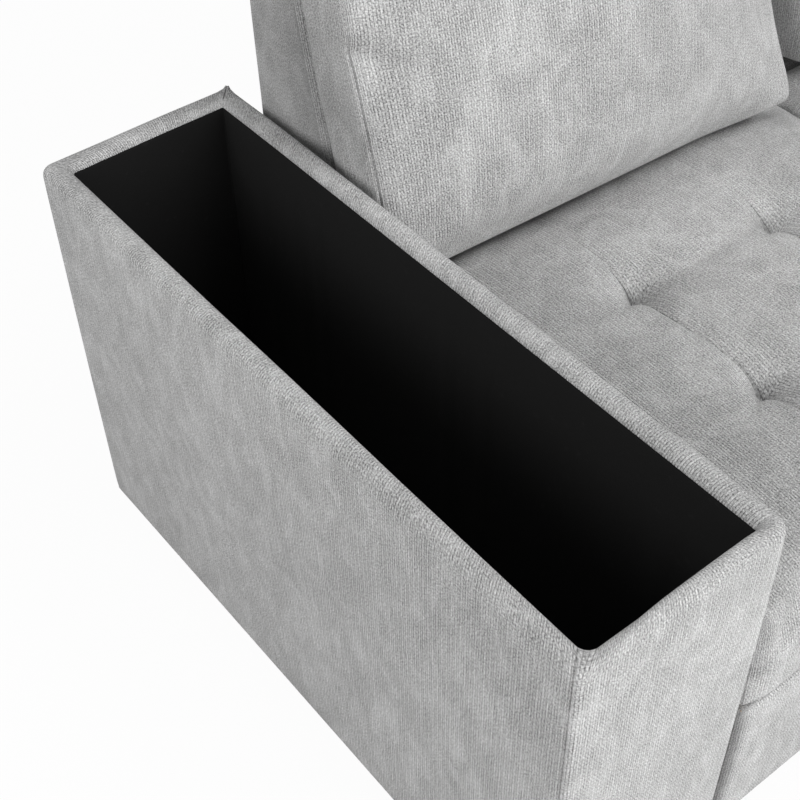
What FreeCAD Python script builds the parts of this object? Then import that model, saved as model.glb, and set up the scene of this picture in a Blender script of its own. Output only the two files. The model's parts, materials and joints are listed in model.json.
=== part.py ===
"""Corner sofa bed: two storage arms, a two-seat section with a pull-out bed, and a storage chaise.

Millimetres. +Z up, the floor at z = 0, the fronts towards -Y, the origin under the middle of the
whole sofa.
"""
import FreeCAD
import Part
import math
import os

import Sketcher
from FreeCAD import Placement, Rotation, Vector

os.makedirs("parts", exist_ok=True)
doc = FreeCAD.newDocument("CornerSofaBed")

# Driving sizes: alias, value, meaning
SIZE_TABLE = [
    ("arm_width", 250, "storage arm, outside to inside"),
    ("arm_depth", 856, "storage arm, front to back"),
    ("arm_height", 538, "arm box without its feet"),
    ("arm_board", 12, "plywood of the arm boxes"),
    ("arm_base_board", 12, "floor board of an arm box"),
    ("arm_front_pad", 4.5, "padding in front of the arm boards"),
    ("arm_rear_pad", 18, "padding behind the arm boards"),
    ("arm_outer_pad", 11, "padding on the arm's outer side"),
    ("arm_inner_pad", 15.5, "padding on the arm's seat side"),
    ("arm_rim_pad", 14, "padding over the top edges of the arm boards"),
    ("arm_corner", 15, "rounding of the arm's upright corners"),
    ("arm_rim_round", 9, "rounding of the rim's outer edge"),
    ("arm_lip_round", 6, "rounding of the rim's inner edge"),
    ("lining_wall", 1.5, "black cloth lining"),
    ("foot_height", 35, "feet"),
    ("foot_radius", 20, "feet"),
    ("foot_inset", 24, "foot centre from the edge of its module"),
    ("seat_width", 690, "one seat"),
    ("seat_edge", 395, "seat edge above the floor"),
    ("seat_crown", 24, "rise of a seat from its edge to its middle"),
    ("seat_inset", 4, "seat front behind the arm's front"),
    ("seat_lip", 12, "padding that hangs in front of the front rail"),
    ("seat_round", 24, "rounding of a seat's top edges"),
    ("seat_pull", 1.5, "how far a seat's sides draw in"),
    ("deck_bottom", 268, "underside of the seat frame above the floor"),
    ("deck_thickness", 30, "seat frame rails"),
    ("long_rail_width", 50, "front and rear seat rails"),
    ("cross_rail_width", 36, "rails from front to rear"),
    ("spring_wire", 4, "diameter of the zigzag springs"),
    ("spring_loop", 11, "radius of a zigzag loop"),
    ("spring_arm", 12, "half of the straight part across a zigzag"),
    ("module_gap", 3, "gap between neighbouring modules"),
    ("soft_gap", 0.5, "clearance around soft pieces"),
    ("chaise_depth", 1480, "chaise front to arm back"),
    ("chaise_board", 18, "boards of the chaise box"),
    ("chaise_pad", 8, "padding around the chaise box"),
    ("chaise_corner", 14, "rounding of the chaise's upright corners"),
    ("end_board", 16, "end and rear boards of the sofa section"),
    ("back_height", 860, "top of the backrest above the floor"),
    ("back_inset", 43, "backrest's rear face ahead of the arm's back"),
    ("back_foot", 184, "backrest thickness at its bottom"),
    ("back_top", 57.5, "backrest thickness at its top"),
    ("back_side_gap", 9, "backrest to arm, beyond the gap of the modules"),
    ("back_pad", 8, "padding behind and above the backrest frame"),
    ("back_post", 24, "thickness of the backrest frame"),
    ("back_post_width", 60, "width of a backrest post"),
    ("back_rail_height", 70, "top and bottom rail of the backrest"),
    ("back_round", 8, "rounding of the backrest's edges"),
    ("cushion_height", 470, "loose back cushion, along its lean"),
    ("cushion_thickness", 132, "loose back cushion"),
    ("cushion_gap", 7, "loose back cushion inside its seat width, each side"),
    ("cushion_corner", 26, "rounding of a loose cushion's side outline"),
    ("cushion_pull", 6.5, "how far a loose cushion's sides draw in"),
    ("panel_lift", 45, "bottom of the bed front above the floor"),
    ("panel_gap", 3, "bed front below the seat front"),
    ("panel_side_gap", 1, "bed front inside the sofa section, each side"),
    ("panel_proud", 3, "bed front ahead of the arm's front"),
    ("panel_pad", 8, "padding before the bed's front board"),
    ("panel_wrap", 3, "padding around the front board's edges"),
    ("panel_board", 16, "front board of the bed"),
    ("rail_rear_gap", 76, "bed rails to the rear board behind them"),
    ("rail_thickness", 18, "bed rails"),
    ("rail_bottom", 60, "bed rails above the floor"),
    ("side_rail_height", 150, "side rails of the bed"),
    ("low_rail_height", 35, "middle and cross rails of the bed"),
    ("side_rail_inset", 50, "side rail from the end of the sofa section"),
    ("guide_height", 30, "guide battens"),
    ("guide_bottom", 110, "guide battens above the floor"),
    ("wheel_radius", 25, "castors of the bed"),
    ("wheel_width", 18, "castors of the bed"),
    ("wheel_round", 3, "rounding of a castor's rim"),
    ("wheel_front", 90, "front castors from the front board"),
    ("wheel_rear", 60, "rear castors before the rear ends of the rails"),
    ("axle_radius", 4, "castor axles"),
    ("running_gap", 0.05, "radial clearance of a running fit"),
    ("bracket_plate", 3, "sheet of the castor brackets"),
    ("bracket_width", 34, "castor bracket along the rail"),
    ("bracket_side_gap", 1, "castor to bracket ear"),
    ("platform_inset", 12, "room for the lift arms beside the platform"),
    ("platform_front", 12, "platform behind the front board"),
    ("platform_rear_gap", 24, "platform before the rear ends of the rails"),
    ("platform_board", 12, "platform plywood"),
    ("platform_bottom", 100, "platform battens above the floor"),
    ("batten_height", 25, "platform battens"),
    ("batten_width", 40, "platform battens"),
    ("platform_edge", 244, "platform cushion's edge above the floor"),
    ("platform_crown", 12, "platform cushion's rise to its middle"),
    ("platform_round", 12, "rounding of the platform cushion's top edges"),
    ("platform_pull", 3, "how far the platform cushion's sides draw in"),
    ("lift_bar", 5, "lift arm thickness"),
    ("lift_width", 24, "lift arm width"),
    ("lift_pin", 5, "lift pin radius"),
    ("lift_pivot_height", 82, "lower lift pivots above the floor"),
    ("lift_front", 102, "front upper pivot behind the front board"),
    ("lift_rear", 140, "rear lower pivot before the rear ends of the rails"),
    ("lift_gap", 62, "room between the front and rear lift arms, pivot to pivot"),
    ("lift_spring_radius", 4.5, "lift springs, outside"),
    ("lift_spring_height", 150, "lift springs above the floor"),
    ("lift_spring_length", 220, "lift springs between their pins"),
    ("lift_spring_rear", 50, "lift springs before the rear ends of the rails"),
    ("tuft_margin", 237, "first column of tufts from the seat's side"),
    ("tuft_pitch", 216, "columns of tufts"),
    ("tuft_row", 200, "first row of tufts behind the arm's front"),
    ("tuft_row_pitch", 194, "rows of tufts"),
    ("tuft_depth", 30, "tuft below the seat's surface"),
    ("tuft_radius", 42, "tuft at the seat's surface"),
    ("crease_radius", 30, "crease that joins the tufts of a column"),
    ("crease_depth", 5, "crease below the seat's surface"),
    ("fixed_seat", 110, "fixed rear seat of the chaise before its backrest"),
    ("rear_seat_crown", 8, "rise of the fixed rear seat to its middle"),
    ("rear_seat_round", 12, "rounding of the fixed rear seat's top edges"),
    ("lid_board", 16, "board of the chaise lid"),
    ("hinge_height", 392, "lid hinge above the floor"),
    ("hinge_radius", 4.8, "hinge knuckles"),
    ("hinge_pin", 2, "hinge pin radius"),
    ("hinge_leaf", 2, "hinge leaf thickness"),
    ("hinge_drop", 50, "hinge leaf below its axis"),
    ("hinge_margin", 45, "hinge end from the chaise's side"),
    ("hinge_gap", 0.6, "clearance between knuckles"),
    ("strut_reach", 330, "gas spring pivots from the hinge axis"),
    ("strut_lid_drop", 145, "upper strut pivot below the hinge axis"),
    ("strut_box_drop", 315, "lower strut pivot below the hinge axis"),
    ("strut_inset", 30, "gas spring from the chaise's side boards"),
    ("strut_radius", 9, "gas spring cylinder"),
    ("strut_bore", 4.4, "bore of the cylinder"),
    ("strut_rod", 4, "rod"),
    ("strut_floor", 15, "floor of the cylinder's bore from its pivot"),
    ("strut_end_gap", 4, "shut strut: rod to cylinder floor, mouth to eye"),
    ("strut_eye", 10, "eye radius at each end"),
    ("strut_eye_width", 20, "eye width"),
    ("strut_stud", 4, "stud in an eye"),
    ("strut_plate", 4, "strut bracket plate"),
    ("strut_plate_width", 44, "strut bracket along the box"),
    ("strut_plate_height", 40, "box bracket height"),
    ("connector_width", 60, "plates between the modules"),
    ("connector_height", 60, "plates between the modules"),
    ("connector_rise", 190, "plates above the floor"),
]


class Size:
    """A number with the sheet expression that gives it, so one sum serves Python and FreeCAD."""

    def __init__(self, value, text):
        self.value = float(value)
        self.text = text

    def __add__(self, other):
        other = sized(other)
        return Size(self.value + other.value, f"({self.text} + {other.text})")

    def __sub__(self, other):
        other = sized(other)
        return Size(self.value - other.value, f"({self.text} - {other.text})")

    def __mul__(self, other):
        other = sized(other)
        return Size(self.value * other.value, f"({self.text} * {other.text})")

    def __truediv__(self, other):
        other = sized(other)
        return Size(self.value / other.value, f"({self.text} / {other.text})")

    def __neg__(self):
        return Size(-self.value, f"(0 - {self.text})")

    __radd__ = __add__
    __rmul__ = __mul__

    def __rsub__(self, other):
        return sized(other) - self

    def __float__(self):
        return self.value


def sized(number):
    """The number itself when it is a Size, else a Size that holds it."""
    return number if isinstance(number, Size) else Size(number, repr(number))


def leg(hypotenuse, other):
    """The third side of a right triangle."""
    value = math.sqrt(float(hypotenuse) ** 2 - float(other) ** 2)
    return Size(value, f"sqrt({hypotenuse.text} ^ 2 - {other.text} ^ 2)")


def hypotenuse(one, other):
    """The long side of a right triangle."""
    return Size(math.hypot(float(one), float(other)), f"sqrt({one.text} ^ 2 + {other.text} ^ 2)")


class Sheet:
    """The spreadsheet of driving sizes, each also an attribute of this object."""

    def __init__(self, table):
        cells = doc.addObject("Spreadsheet::Sheet", "Sizes")
        for row, (alias, value, meaning) in enumerate(table, start=1):
            cells.set(f"A{row}", str(value))
            cells.setAlias(f"A{row}", alias)
            cells.set(f"B{row}", meaning)
            setattr(self, alias, Size(value, "Sizes." + alias))


d = Sheet(SIZE_TABLE)
doc.recompute()
nodes = []
# How near an edge lies to the face that it is picked by
edge_tolerance = 0.01


def bind(target, path, size):
    """Give a property its size, as an expression on the sheet."""
    target.setExpression(path, sized(size).text)


def place(target, x, y, z):
    for axis, size in zip("xyz", (x, y, z)):
        bind(target, f"Placement.Base.{axis}", size)


def keep(label, target):
    """Name a finished sub-part and put it on the list that is written out."""
    target.Label = label
    nodes.append(target)
    return target


# Sketches and bodies

def new_body(label):
    return keep(label, doc.addObject("PartDesign::Body", label))


def new_sketch(body, role, lift=None):
    """A sketch on one of the body's origin planes, raised by lift."""
    plane = [f for f in body.Origin.OriginFeatures if f.Role == role][0]
    sketch = body.newObject("Sketcher::SketchObject", body.Name + "_sketch")
    sketch.AttachmentSupport = (plane, [""])
    sketch.MapMode = "FlatFace"
    if lift is not None:
        bind(sketch, "AttachmentOffset.Base.z", lift)
    return sketch


def dimension(sketch, kind, spots, size):
    """One driving constraint, tied to the sheet."""
    index = sketch.addConstraint(Sketcher.Constraint(kind, *spots, float(sized(size))))
    bind(sketch, f"Constraints[{index}]", size)


def draw_outline(sketch, points):
    """A closed outline of straight lines whose points are all placed from the origin."""
    first = sketch.GeometryCount
    count = len(points)
    spots = [Vector(float(x), float(y), 0) for x, y in points]
    sketch.addGeometry([Part.LineSegment(spots[i], spots[(i + 1) % count])
                        for i in range(count)], False)
    for i in range(count):
        sketch.addConstraint(
            Sketcher.Constraint("Coincident", first + i, 2, first + (i + 1) % count, 1))
    for i, (x, y) in enumerate(points):
        dimension(sketch, "DistanceX", (-1, 1, first + i, 1), x)
        dimension(sketch, "DistanceY", (-1, 1, first + i, 1), y)


def draw_rectangle(sketch, x0, y0, x1, y1):
    draw_outline(sketch, [(x0, y0), (x1, y0), (x1, y1), (x0, y1)])


def draw_circle(sketch, x, y, radius):
    index = sketch.addGeometry(
        Part.Circle(Vector(float(x), float(y), 0), Vector(0, 0, 1), float(radius)), False)
    dimension(sketch, "DistanceX", (-1, 1, index, 3), x)
    dimension(sketch, "DistanceY", (-1, 1, index, 3), y)
    dimension(sketch, "Radius", (index,), radius)


def pad(body, sketch, length):
    feature = body.newObject("PartDesign::Pad", body.Name + "_pad")
    feature.Profile = sketch
    bind(feature, "Length", length)
    doc.recompute()
    return feature


def fillet(body, base, radius, wanted):
    """Round the edges of base that wanted picks."""
    names = [f"Edge{i}" for i, edge in enumerate(base.Shape.Edges, start=1) if wanted(edge)]
    feature = body.newObject("PartDesign::Fillet", body.Name + "_fillet")
    feature.Base = (base, names)
    bind(feature, "Radius", radius)
    base.Visibility = False
    doc.recompute()
    return feature


def boards(label, low_z, high_z, rectangles):
    """Boards of one height, each given by two opposite corners (x0, y0, x1, y1)."""
    body = new_body(label)
    sketch = new_sketch(body, "XY_Plane")
    origin_x, origin_y = rectangles[0][0], rectangles[0][1]
    for x0, y0, x1, y1 in rectangles:
        draw_rectangle(sketch, x0 - origin_x, y0 - origin_y, x1 - origin_x, y1 - origin_y)
    pad(body, sketch, high_z - low_z)
    place(body, origin_x, origin_y, low_z)
    return body


def tray(label, low, high, wall, floor):
    """An open box of even walls with a floor."""
    body = new_body(label)
    width, depth = high[0] - low[0], high[1] - low[1]
    base = new_sketch(body, "XY_Plane")
    draw_rectangle(base, 0, 0, width, depth)
    pad(body, base, floor)
    ring = new_sketch(body, "XY_Plane")
    draw_rectangle(ring, 0, 0, width, depth)
    draw_rectangle(ring, wall, wall, width - wall, depth - wall)
    pad(body, ring, high[2] - low[2])
    place(body, *low)
    return body


def profile_along_x(label, x, length, outline):
    """A side outline of (y, z) points carried along X."""
    body = new_body(label)
    sketch = new_sketch(body, "YZ_Plane")
    origin_y, origin_z = outline[0]
    draw_outline(sketch, [(y - origin_y, z - origin_z) for y, z in outline])
    feature = pad(body, sketch, length)
    place(body, x, origin_y, origin_z)
    return body, feature


def is_upright(edge):
    """A straight vertical edge."""
    return len(edge.Vertexes) == 2 and abs(edge.tangentAt(edge.FirstParameter).z) > 0.999


# Primitives and booleans

def block(name, low, high):
    solid = doc.addObject("Part::Box", name)
    for prop, a, b in zip(("Length", "Width", "Height"), low, high):
        bind(solid, prop, b - a)
    place(solid, *low)
    return solid


ALONG = {"x": Rotation(Vector(0, 1, 0), 90), "y": Rotation(Vector(1, 0, 0), -90), "z": Rotation()}


def rod(name, base, axis, radius, length):
    """A cylinder from base along +axis."""
    solid = doc.addObject("Part::Cylinder", name)
    bind(solid, "Radius", radius)
    bind(solid, "Height", length)
    solid.Placement = Placement(Vector(0, 0, 0), ALONG[axis])
    place(solid, *base)
    return solid


def joined(name, pieces):
    solid = doc.addObject("Part::MultiFuse", name)
    solid.Shapes = pieces
    return solid


def less(name, base, tool):
    solid = doc.addObject("Part::Cut", name)
    solid.Base = base
    solid.Tool = tool
    return solid


def group(label, pieces):
    """Separate solids that share one node."""
    solid = keep(label, doc.addObject("Part::Compound", label))
    solid.Links = pieces
    return solid


# Soft pieces

def drawn_in_outline(x0, y0, x1, y1, level, pull):
    """A rectangle at a level whose four sides are arcs that draw in by pull."""
    corners = [Vector(x0, y0, level), Vector(x1, y0, level),
               Vector(x1, y1, level), Vector(x0, y1, level)]
    centre = Vector((x0 + x1) / 2, (y0 + y1) / 2, level)
    edges = []
    for start, end in zip(corners, corners[1:] + corners[:1]):
        middle = (start + end) / 2
        inward = centre - middle
        inward.normalize()
        edges.append(Part.Arc(start, middle + inward * pull, end).toShape())
    return Part.Wire(edges)


def soft_block(x0, y0, x1, y1, bottom, edge, crown, pull, round_off):
    """A cushion with drawn-in sides, rounded top edges and a crown, as a loft of outlines.

    Each step is a share of the way in from the side and a share of the crown's rise.
    """
    shoulder_share = 0.3
    crown_shares = [(0.054, 0.36), (0.115, 0.64), (0.2, 0.84), (0.308, 0.96), (0.415, 1.0)]
    narrow_side = min(x1 - x0, y1 - y0)
    shoulder = round_off * shoulder_share
    steps = [(0, bottom), (0, edge - round_off), (shoulder, edge - shoulder), (round_off, edge)]
    steps += [(round_off + narrow_side * inward_share, edge + crown * rise_share)
              for inward_share, rise_share in crown_shares]
    outlines = [drawn_in_outline(x0 + inset, y0 + inset, x1 - inset, y1 - inset, level, pull)
                for inset, level in steps]
    return Part.makeLoft(outlines, True, True)


def tufted(solid, columns, rows, surface):
    """Sink a cone at each tuft and a shallow crease along each column."""
    tip_share = 0.1
    overrun = float(d.tuft_depth)
    depth, wide = float(d.tuft_depth), float(d.tuft_radius)
    tip = wide * tip_share
    widening = (wide - tip) / depth
    bounds = solid.BoundBox
    for x in columns:
        crease = Part.makeCylinder(float(d.crease_radius), bounds.YLength + 2 * overrun,
                                   Vector(x, bounds.YMin - overrun,
                                          surface + float(d.crease_radius) - float(d.crease_depth)),
                                   Vector(0, 1, 0))
        solid = solid.cut(crease)
        for y in rows:
            cone = Part.makeCone(tip, wide + widening * overrun, depth + overrun,
                                 Vector(x, y, surface - depth))
            solid = solid.cut(cone)
    return solid


def soft_feature(label, shape, placement=Placement()):
    feature = doc.addObject("Part::Feature", label)
    feature.Shape = shape
    feature.Placement = placement
    return keep(label, feature)


# Where the modules stand

total_width = 2 * d.arm_width + 3 * d.seat_width + 3 * d.module_gap
left_edge = -total_width / 2
right_edge = total_width / 2
rear = d.chaise_depth / 2
arm_front = rear - d.arm_depth
chaise_front = -rear
back_rear = rear - d.back_inset
sofa_left = left_edge + d.arm_width + d.module_gap
sofa_right = sofa_left + 2 * d.seat_width
sofa_middle = sofa_left + d.seat_width
chaise_left = sofa_right + d.module_gap
chaise_right = chaise_left + d.seat_width
right_arm_left = chaise_right + d.module_gap
deck_top = d.deck_bottom + d.deck_thickness
seat_front = arm_front + d.seat_inset
seat_back = back_rear - d.back_foot - d.soft_gap
tuft_columns = [d.tuft_margin, d.tuft_margin + d.tuft_pitch]


# Storage arms

def make_arm(side, low_x, low_pad, high_pad):
    """One open storage arm between low_x and low_x + arm_width."""
    board = d.arm_board
    box_low, box_high = low_x + low_pad, low_x + d.arm_width - high_pad
    box_front, box_rear = arm_front + d.arm_front_pad, rear - d.arm_rear_pad
    base, floor = d.foot_height, d.foot_height + d.arm_base_board
    board_top = d.foot_height + d.arm_height - d.arm_rim_pad
    boards(f"{side}_arm_base_board", base, floor, [(box_low, box_front, box_high, box_rear)])
    boards(f"{side}_arm_side_boards", floor, board_top,
           [(box_low, box_front, box_low + board, box_rear),
            (box_high - board, box_front, box_high, box_rear)])
    boards(f"{side}_arm_end_boards", floor, board_top,
           [(box_low + board, box_front, box_high - board, box_front + board),
            (box_low + board, box_rear - board, box_high - board, box_rear)])
    tray(f"{side}_arm_lining", (box_low + board, box_front + board, floor),
         (box_high - board, box_rear - board, board_top), d.lining_wall, d.lining_wall)

    cover = new_body(f"{side}_arm_cover")
    walls = new_sketch(cover, "XY_Plane")
    draw_rectangle(walls, 0, 0, d.arm_width, d.arm_depth)
    draw_rectangle(walls, low_pad, d.arm_front_pad,
                   d.arm_width - high_pad, d.arm_depth - d.arm_rear_pad)
    pad(cover, walls, d.arm_height - d.arm_rim_pad)
    inset = board + d.lining_wall
    rim = new_sketch(cover, "XY_Plane", d.arm_height - d.arm_rim_pad)
    draw_rectangle(rim, 0, 0, d.arm_width, d.arm_depth)
    draw_rectangle(rim, low_pad + inset, d.arm_front_pad + inset,
                   d.arm_width - high_pad - inset, d.arm_depth - d.arm_rear_pad - inset)
    shell = pad(cover, rim, d.arm_rim_pad)
    width, depth = float(d.arm_width), float(d.arm_depth)
    top = float(d.arm_height)

    def outer_corner(edge):
        middle = edge.CenterOfMass
        return (is_upright(edge) and min(abs(middle.x), abs(middle.x - width)) < edge_tolerance
                and min(abs(middle.y), abs(middle.y - depth)) < edge_tolerance)

    def on_top(edge):
        box = edge.BoundBox
        return min(box.ZMin, box.ZMax) > top - edge_tolerance

    def outer_rim(edge):
        box = edge.BoundBox
        return on_top(edge) and (min(box.XMin, width - box.XMax) < edge_tolerance
                                 or min(box.YMin, depth - box.YMax) < edge_tolerance)

    rounded = fillet(cover, shell, d.arm_corner, outer_corner)
    rounded = fillet(cover, rounded, d.arm_rim_round, outer_rim)
    fillet(cover, rounded, d.arm_lip_round, lambda edge: on_top(edge) and edge.Length > 0
           and edge.BoundBox.XMin > float(low_pad + inset) - edge_tolerance
           and edge.BoundBox.XMax < float(d.arm_width - high_pad - inset) + edge_tolerance
           and edge.BoundBox.YMin > float(d.arm_front_pad + inset) - edge_tolerance
           and edge.BoundBox.YMax < float(d.arm_depth - d.arm_rear_pad - inset) + edge_tolerance)
    place(cover, low_x, arm_front, d.foot_height)


make_arm("left", left_edge, d.arm_outer_pad, d.arm_inner_pad)
make_arm("right", right_arm_left, d.arm_inner_pad, d.arm_outer_pad)


# Feet under every module

def make_feet():
    body = new_body("feet")
    sketch = new_sketch(body, "XY_Plane")
    arm_inset = d.foot_inset + d.arm_rear_pad
    spots = []
    for low_x in (left_edge, right_arm_left):
        for x in (low_x + arm_inset, low_x + d.arm_width - arm_inset):
            spots += [(x, arm_front + arm_inset), (x, rear - arm_inset)]
    for x in (sofa_left + d.foot_inset, sofa_right - d.foot_inset):
        spots.append((x, panel_rear + d.foot_inset))
        spots.append((x, back_rear - d.foot_inset))
    spots.append((sofa_middle, back_rear - d.foot_inset))
    for x in (chaise_left + 2 * d.foot_inset, chaise_right - 2 * d.foot_inset):
        spots += [(x, chaise_front + 2 * d.foot_inset), (x, (chaise_front + back_rear) / 2),
                  (x, back_rear - 2 * d.foot_inset)]
    for x, y in spots:
        draw_circle(sketch, x, y, d.foot_radius)
    pad(body, sketch, d.foot_height)


panel_front = arm_front - d.panel_proud
panel_rear = panel_front + d.panel_pad + d.panel_board
make_feet()


# Fixed frame of the sofa section

rear_board_front = back_rear - d.end_board
group("sofa_base_boards",
      [block("base_" + name, (x0, y0, d.foot_height), (x1, y1, d.deck_bottom))
       for name, x0, y0, x1, y1 in (
           ("left", sofa_left, panel_rear + d.soft_gap, sofa_left + d.end_board, rear_board_front),
           ("right", sofa_right - d.end_board, panel_rear + d.soft_gap, sofa_right,
            rear_board_front),
           ("rear", sofa_left, rear_board_front, sofa_right, back_rear))])
rail_front = seat_front + d.seat_lip
boards("seat_long_rails", d.deck_bottom, deck_top,
       [(sofa_left, rail_front, sofa_right, rail_front + d.long_rail_width),
        (sofa_left, back_rear - d.long_rail_width, sofa_right, back_rear)])
cross_front = rail_front + d.long_rail_width
cross_rear = back_rear - d.long_rail_width
half_rail = d.cross_rail_width / 2
boards("seat_cross_rails", d.deck_bottom, deck_top,
       [(sofa_left, cross_front, sofa_left + d.cross_rail_width, cross_rear),
        (sofa_middle - half_rail, cross_front, sofa_middle + half_rail, cross_rear),
        (sofa_right - d.cross_rail_width, cross_front, sofa_right, cross_rear)])
rail_outer = d.side_rail_inset
boards("bed_guide_battens", d.guide_bottom, d.guide_bottom + d.guide_height,
       [(sofa_left + d.end_board, panel_rear + d.soft_gap,
         sofa_left + rail_outer - d.soft_gap, rear_board_front),
        (sofa_right - rail_outer + d.soft_gap, panel_rear + d.soft_gap,
         sofa_right - d.end_board, rear_board_front)])


def make_seat_springs():
    """Zigzag springs from the front seat rail to the rear one, five under each seat."""
    per_seat = 5
    loop, arm, wire = float(d.spring_loop), float(d.spring_arm), float(d.spring_wire) / 2
    start, end = float(cross_front), float(cross_rear)
    height = float(deck_top) - 2 * wire
    turns = int((end - start) / (2 * loop))
    lead = (end - start - 2 * loop * turns) / 2 + loop
    solids = []
    for seat in range(2):
        low = float(sofa_left) + float(d.seat_width) * seat
        for index in range(per_seat):
            x = low + float(d.seat_width) * (index + 1) / (per_seat + 1)
            edges = []
            point = Vector(x, start, height)
            side = 1
            y = start + lead
            corner = Vector(x, y - loop, height)
            edges.append(Part.LineSegment(point, corner).toShape())
            middle = Vector(x + side * (loop - loop * math.sqrt(0.5)),
                            y - loop * (1 - math.sqrt(0.5)), height)
            point = Vector(x + side * loop, y, height)
            edges.append(Part.Arc(corner, middle, point).toShape())
            for turn in range(turns - 1):
                straight_end = Vector(x + side * (arm + loop), y, height)
                edges.append(Part.LineSegment(point, straight_end).toShape())
                top = Vector(straight_end.x + side * loop, y + loop, height)
                after = Vector(straight_end.x, y + 2 * loop, height)
                edges.append(Part.Arc(straight_end, top, after).toShape())
                point = after
                y += 2 * loop
                side = -side
                across = Vector(x + side * loop, y, height)
                edges.append(Part.LineSegment(point, across).toShape())
                point = across
            middle = Vector(x + side * loop * (1 - math.sqrt(0.5)),
                            y + loop * (1 - math.sqrt(0.5)), height)
            corner = Vector(x, y + loop, height)
            edges.append(Part.Arc(point, middle, corner).toShape())
            edges.append(Part.LineSegment(corner, Vector(x, end, height)).toShape())
            path = Part.Wire(edges)
            ring = Part.Wire([Part.makeCircle(wire, Vector(x, start, height), Vector(0, 1, 0))])
            solids.append(path.makePipeShell([ring], True, False))
    soft_feature("seat_springs", Part.makeCompound(solids))


make_seat_springs()


# Seats

def make_seat(label, low_x, rows):
    """A tufted seat whose front lip hangs before the front rail."""
    gap = float(d.soft_gap) / 2
    x0, x1 = float(low_x) + gap, float(low_x + d.seat_width) - gap
    y0, y1 = float(seat_front), float(seat_back)
    edge, crown = float(d.seat_edge), float(d.seat_crown)
    lip = float(d.seat_lip)
    solid = soft_block(x0, y0, x1, y1, float(d.deck_bottom), edge, crown,
                       float(d.seat_pull), float(d.seat_round))
    under = Part.makeBox(x1 - x0 + 2 * lip, y1 - y0 + lip, float(d.deck_thickness),
                         Vector(x0 - lip, float(rail_front), float(d.deck_bottom)))
    solid = solid.cut(under)
    solid = tufted(solid, [float(low_x + c) for c in tuft_columns], rows, edge + crown)
    soft_feature(label, solid)


seat_rows = [float(arm_front + d.tuft_row + n * d.tuft_row_pitch) for n in range(2)]
make_seat("left_seat_cushion", sofa_left, seat_rows)
make_seat("right_seat_cushion", sofa_middle, seat_rows)


# Backrests

def make_backrest(side, low_x, high_x, bottom):
    """A frame of posts and rails inside a padded cover with a leaning front."""
    top = d.back_height
    frame_rear = back_rear - d.back_pad
    frame_front = frame_rear - d.back_post
    frame_low, frame_high = low_x + d.back_pad, high_x - d.back_pad
    frame_top = top - d.back_pad
    rail = d.back_rail_height
    group(f"{side}_back_rails",
          [block(f"{side}_rail_{name}", (frame_low, frame_front, low),
                 (frame_high, frame_rear, low + rail))
           for name, low in (("bottom", bottom), ("top", frame_top - rail))])
    width = float(frame_high - frame_low)
    bays = max(1, round(width / (4 * float(d.back_post_width))))
    pitch = (frame_high - frame_low - d.back_post_width) / bays
    boards(f"{side}_back_posts", bottom + rail, frame_top - rail,
           [(frame_low + n * pitch, frame_front,
             frame_low + n * pitch + d.back_post_width, frame_rear)
            for n in range(bays + 1)])

    name = f"{side}_back_cover"
    body, shape = profile_along_x(name, low_x, high_x - low_x,
                                  [(back_rear - d.back_foot, bottom), (back_rear, bottom),
                                   (back_rear, top), (back_rear - d.back_top, top)])
    slot = new_sketch(body, "XY_Plane")
    front = back_rear - d.back_foot
    draw_rectangle(slot, frame_low - low_x, frame_front - front,
                   frame_high - low_x, frame_rear - front)
    pocket = body.newObject("PartDesign::Pocket", name + "_pocket")
    pocket.Profile = slot
    pocket.Reversed = True
    bind(pocket, "Length", frame_top - bottom)
    doc.recompute()
    if pocket.Shape.Volume >= shape.Shape.Volume:
        raise RuntimeError(name + ": the frame slot cut nothing")
    span, depth, high = float(high_x - low_x), float(d.back_foot), float(top - bottom)

    def outer_edge(edge):
        box = edge.BoundBox
        along_top = box.ZMin > high - edge_tolerance
        at_side = box.XLength < edge_tolerance and min(box.XMin, span - box.XMax) < edge_tolerance
        return (along_top or at_side) and box.ZMax > edge_tolerance and box.YMax < depth + edge_tolerance

    fillet(body, pocket, d.back_round, outer_edge)


sofa_back_left = sofa_left + d.back_side_gap
chaise_back_right = chaise_right - d.back_side_gap
make_backrest("sofa", sofa_back_left, sofa_right, deck_top)
make_backrest("chaise", chaise_left, chaise_back_right, deck_top)


# Pull-out bed

panel_low, panel_high = sofa_left + d.panel_side_gap, sofa_right - d.panel_side_gap
panel_top = d.deck_bottom - d.panel_gap
board_front = panel_front + d.panel_pad
boards("bed_front_board", d.panel_lift + d.panel_wrap, panel_top - d.panel_wrap,
       [(panel_low + d.panel_wrap, board_front, panel_high - d.panel_wrap, panel_rear)])
panel_block = block("panel_block", (panel_low, panel_front, d.panel_lift),
                    (panel_high, panel_rear, panel_top))
doc.recompute()
soft_panel = doc.addObject("Part::Fillet", "soft_panel")
soft_panel.Base = panel_block
soft_panel.Edges = [(i, float(d.panel_wrap), float(d.panel_wrap))
                    for i, edge in enumerate(panel_block.Shape.Edges, start=1)
                    if edge.BoundBox.YMax < float(panel_front) + edge_tolerance]
board_space = block("board_space",
                    (panel_low + d.panel_wrap, board_front, d.panel_lift + d.panel_wrap),
                    (panel_high - d.panel_wrap, panel_rear + d.panel_pad, panel_top - d.panel_wrap))
keep("bed_front_cover", less("bed_front_cover", soft_panel, board_space))

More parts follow.
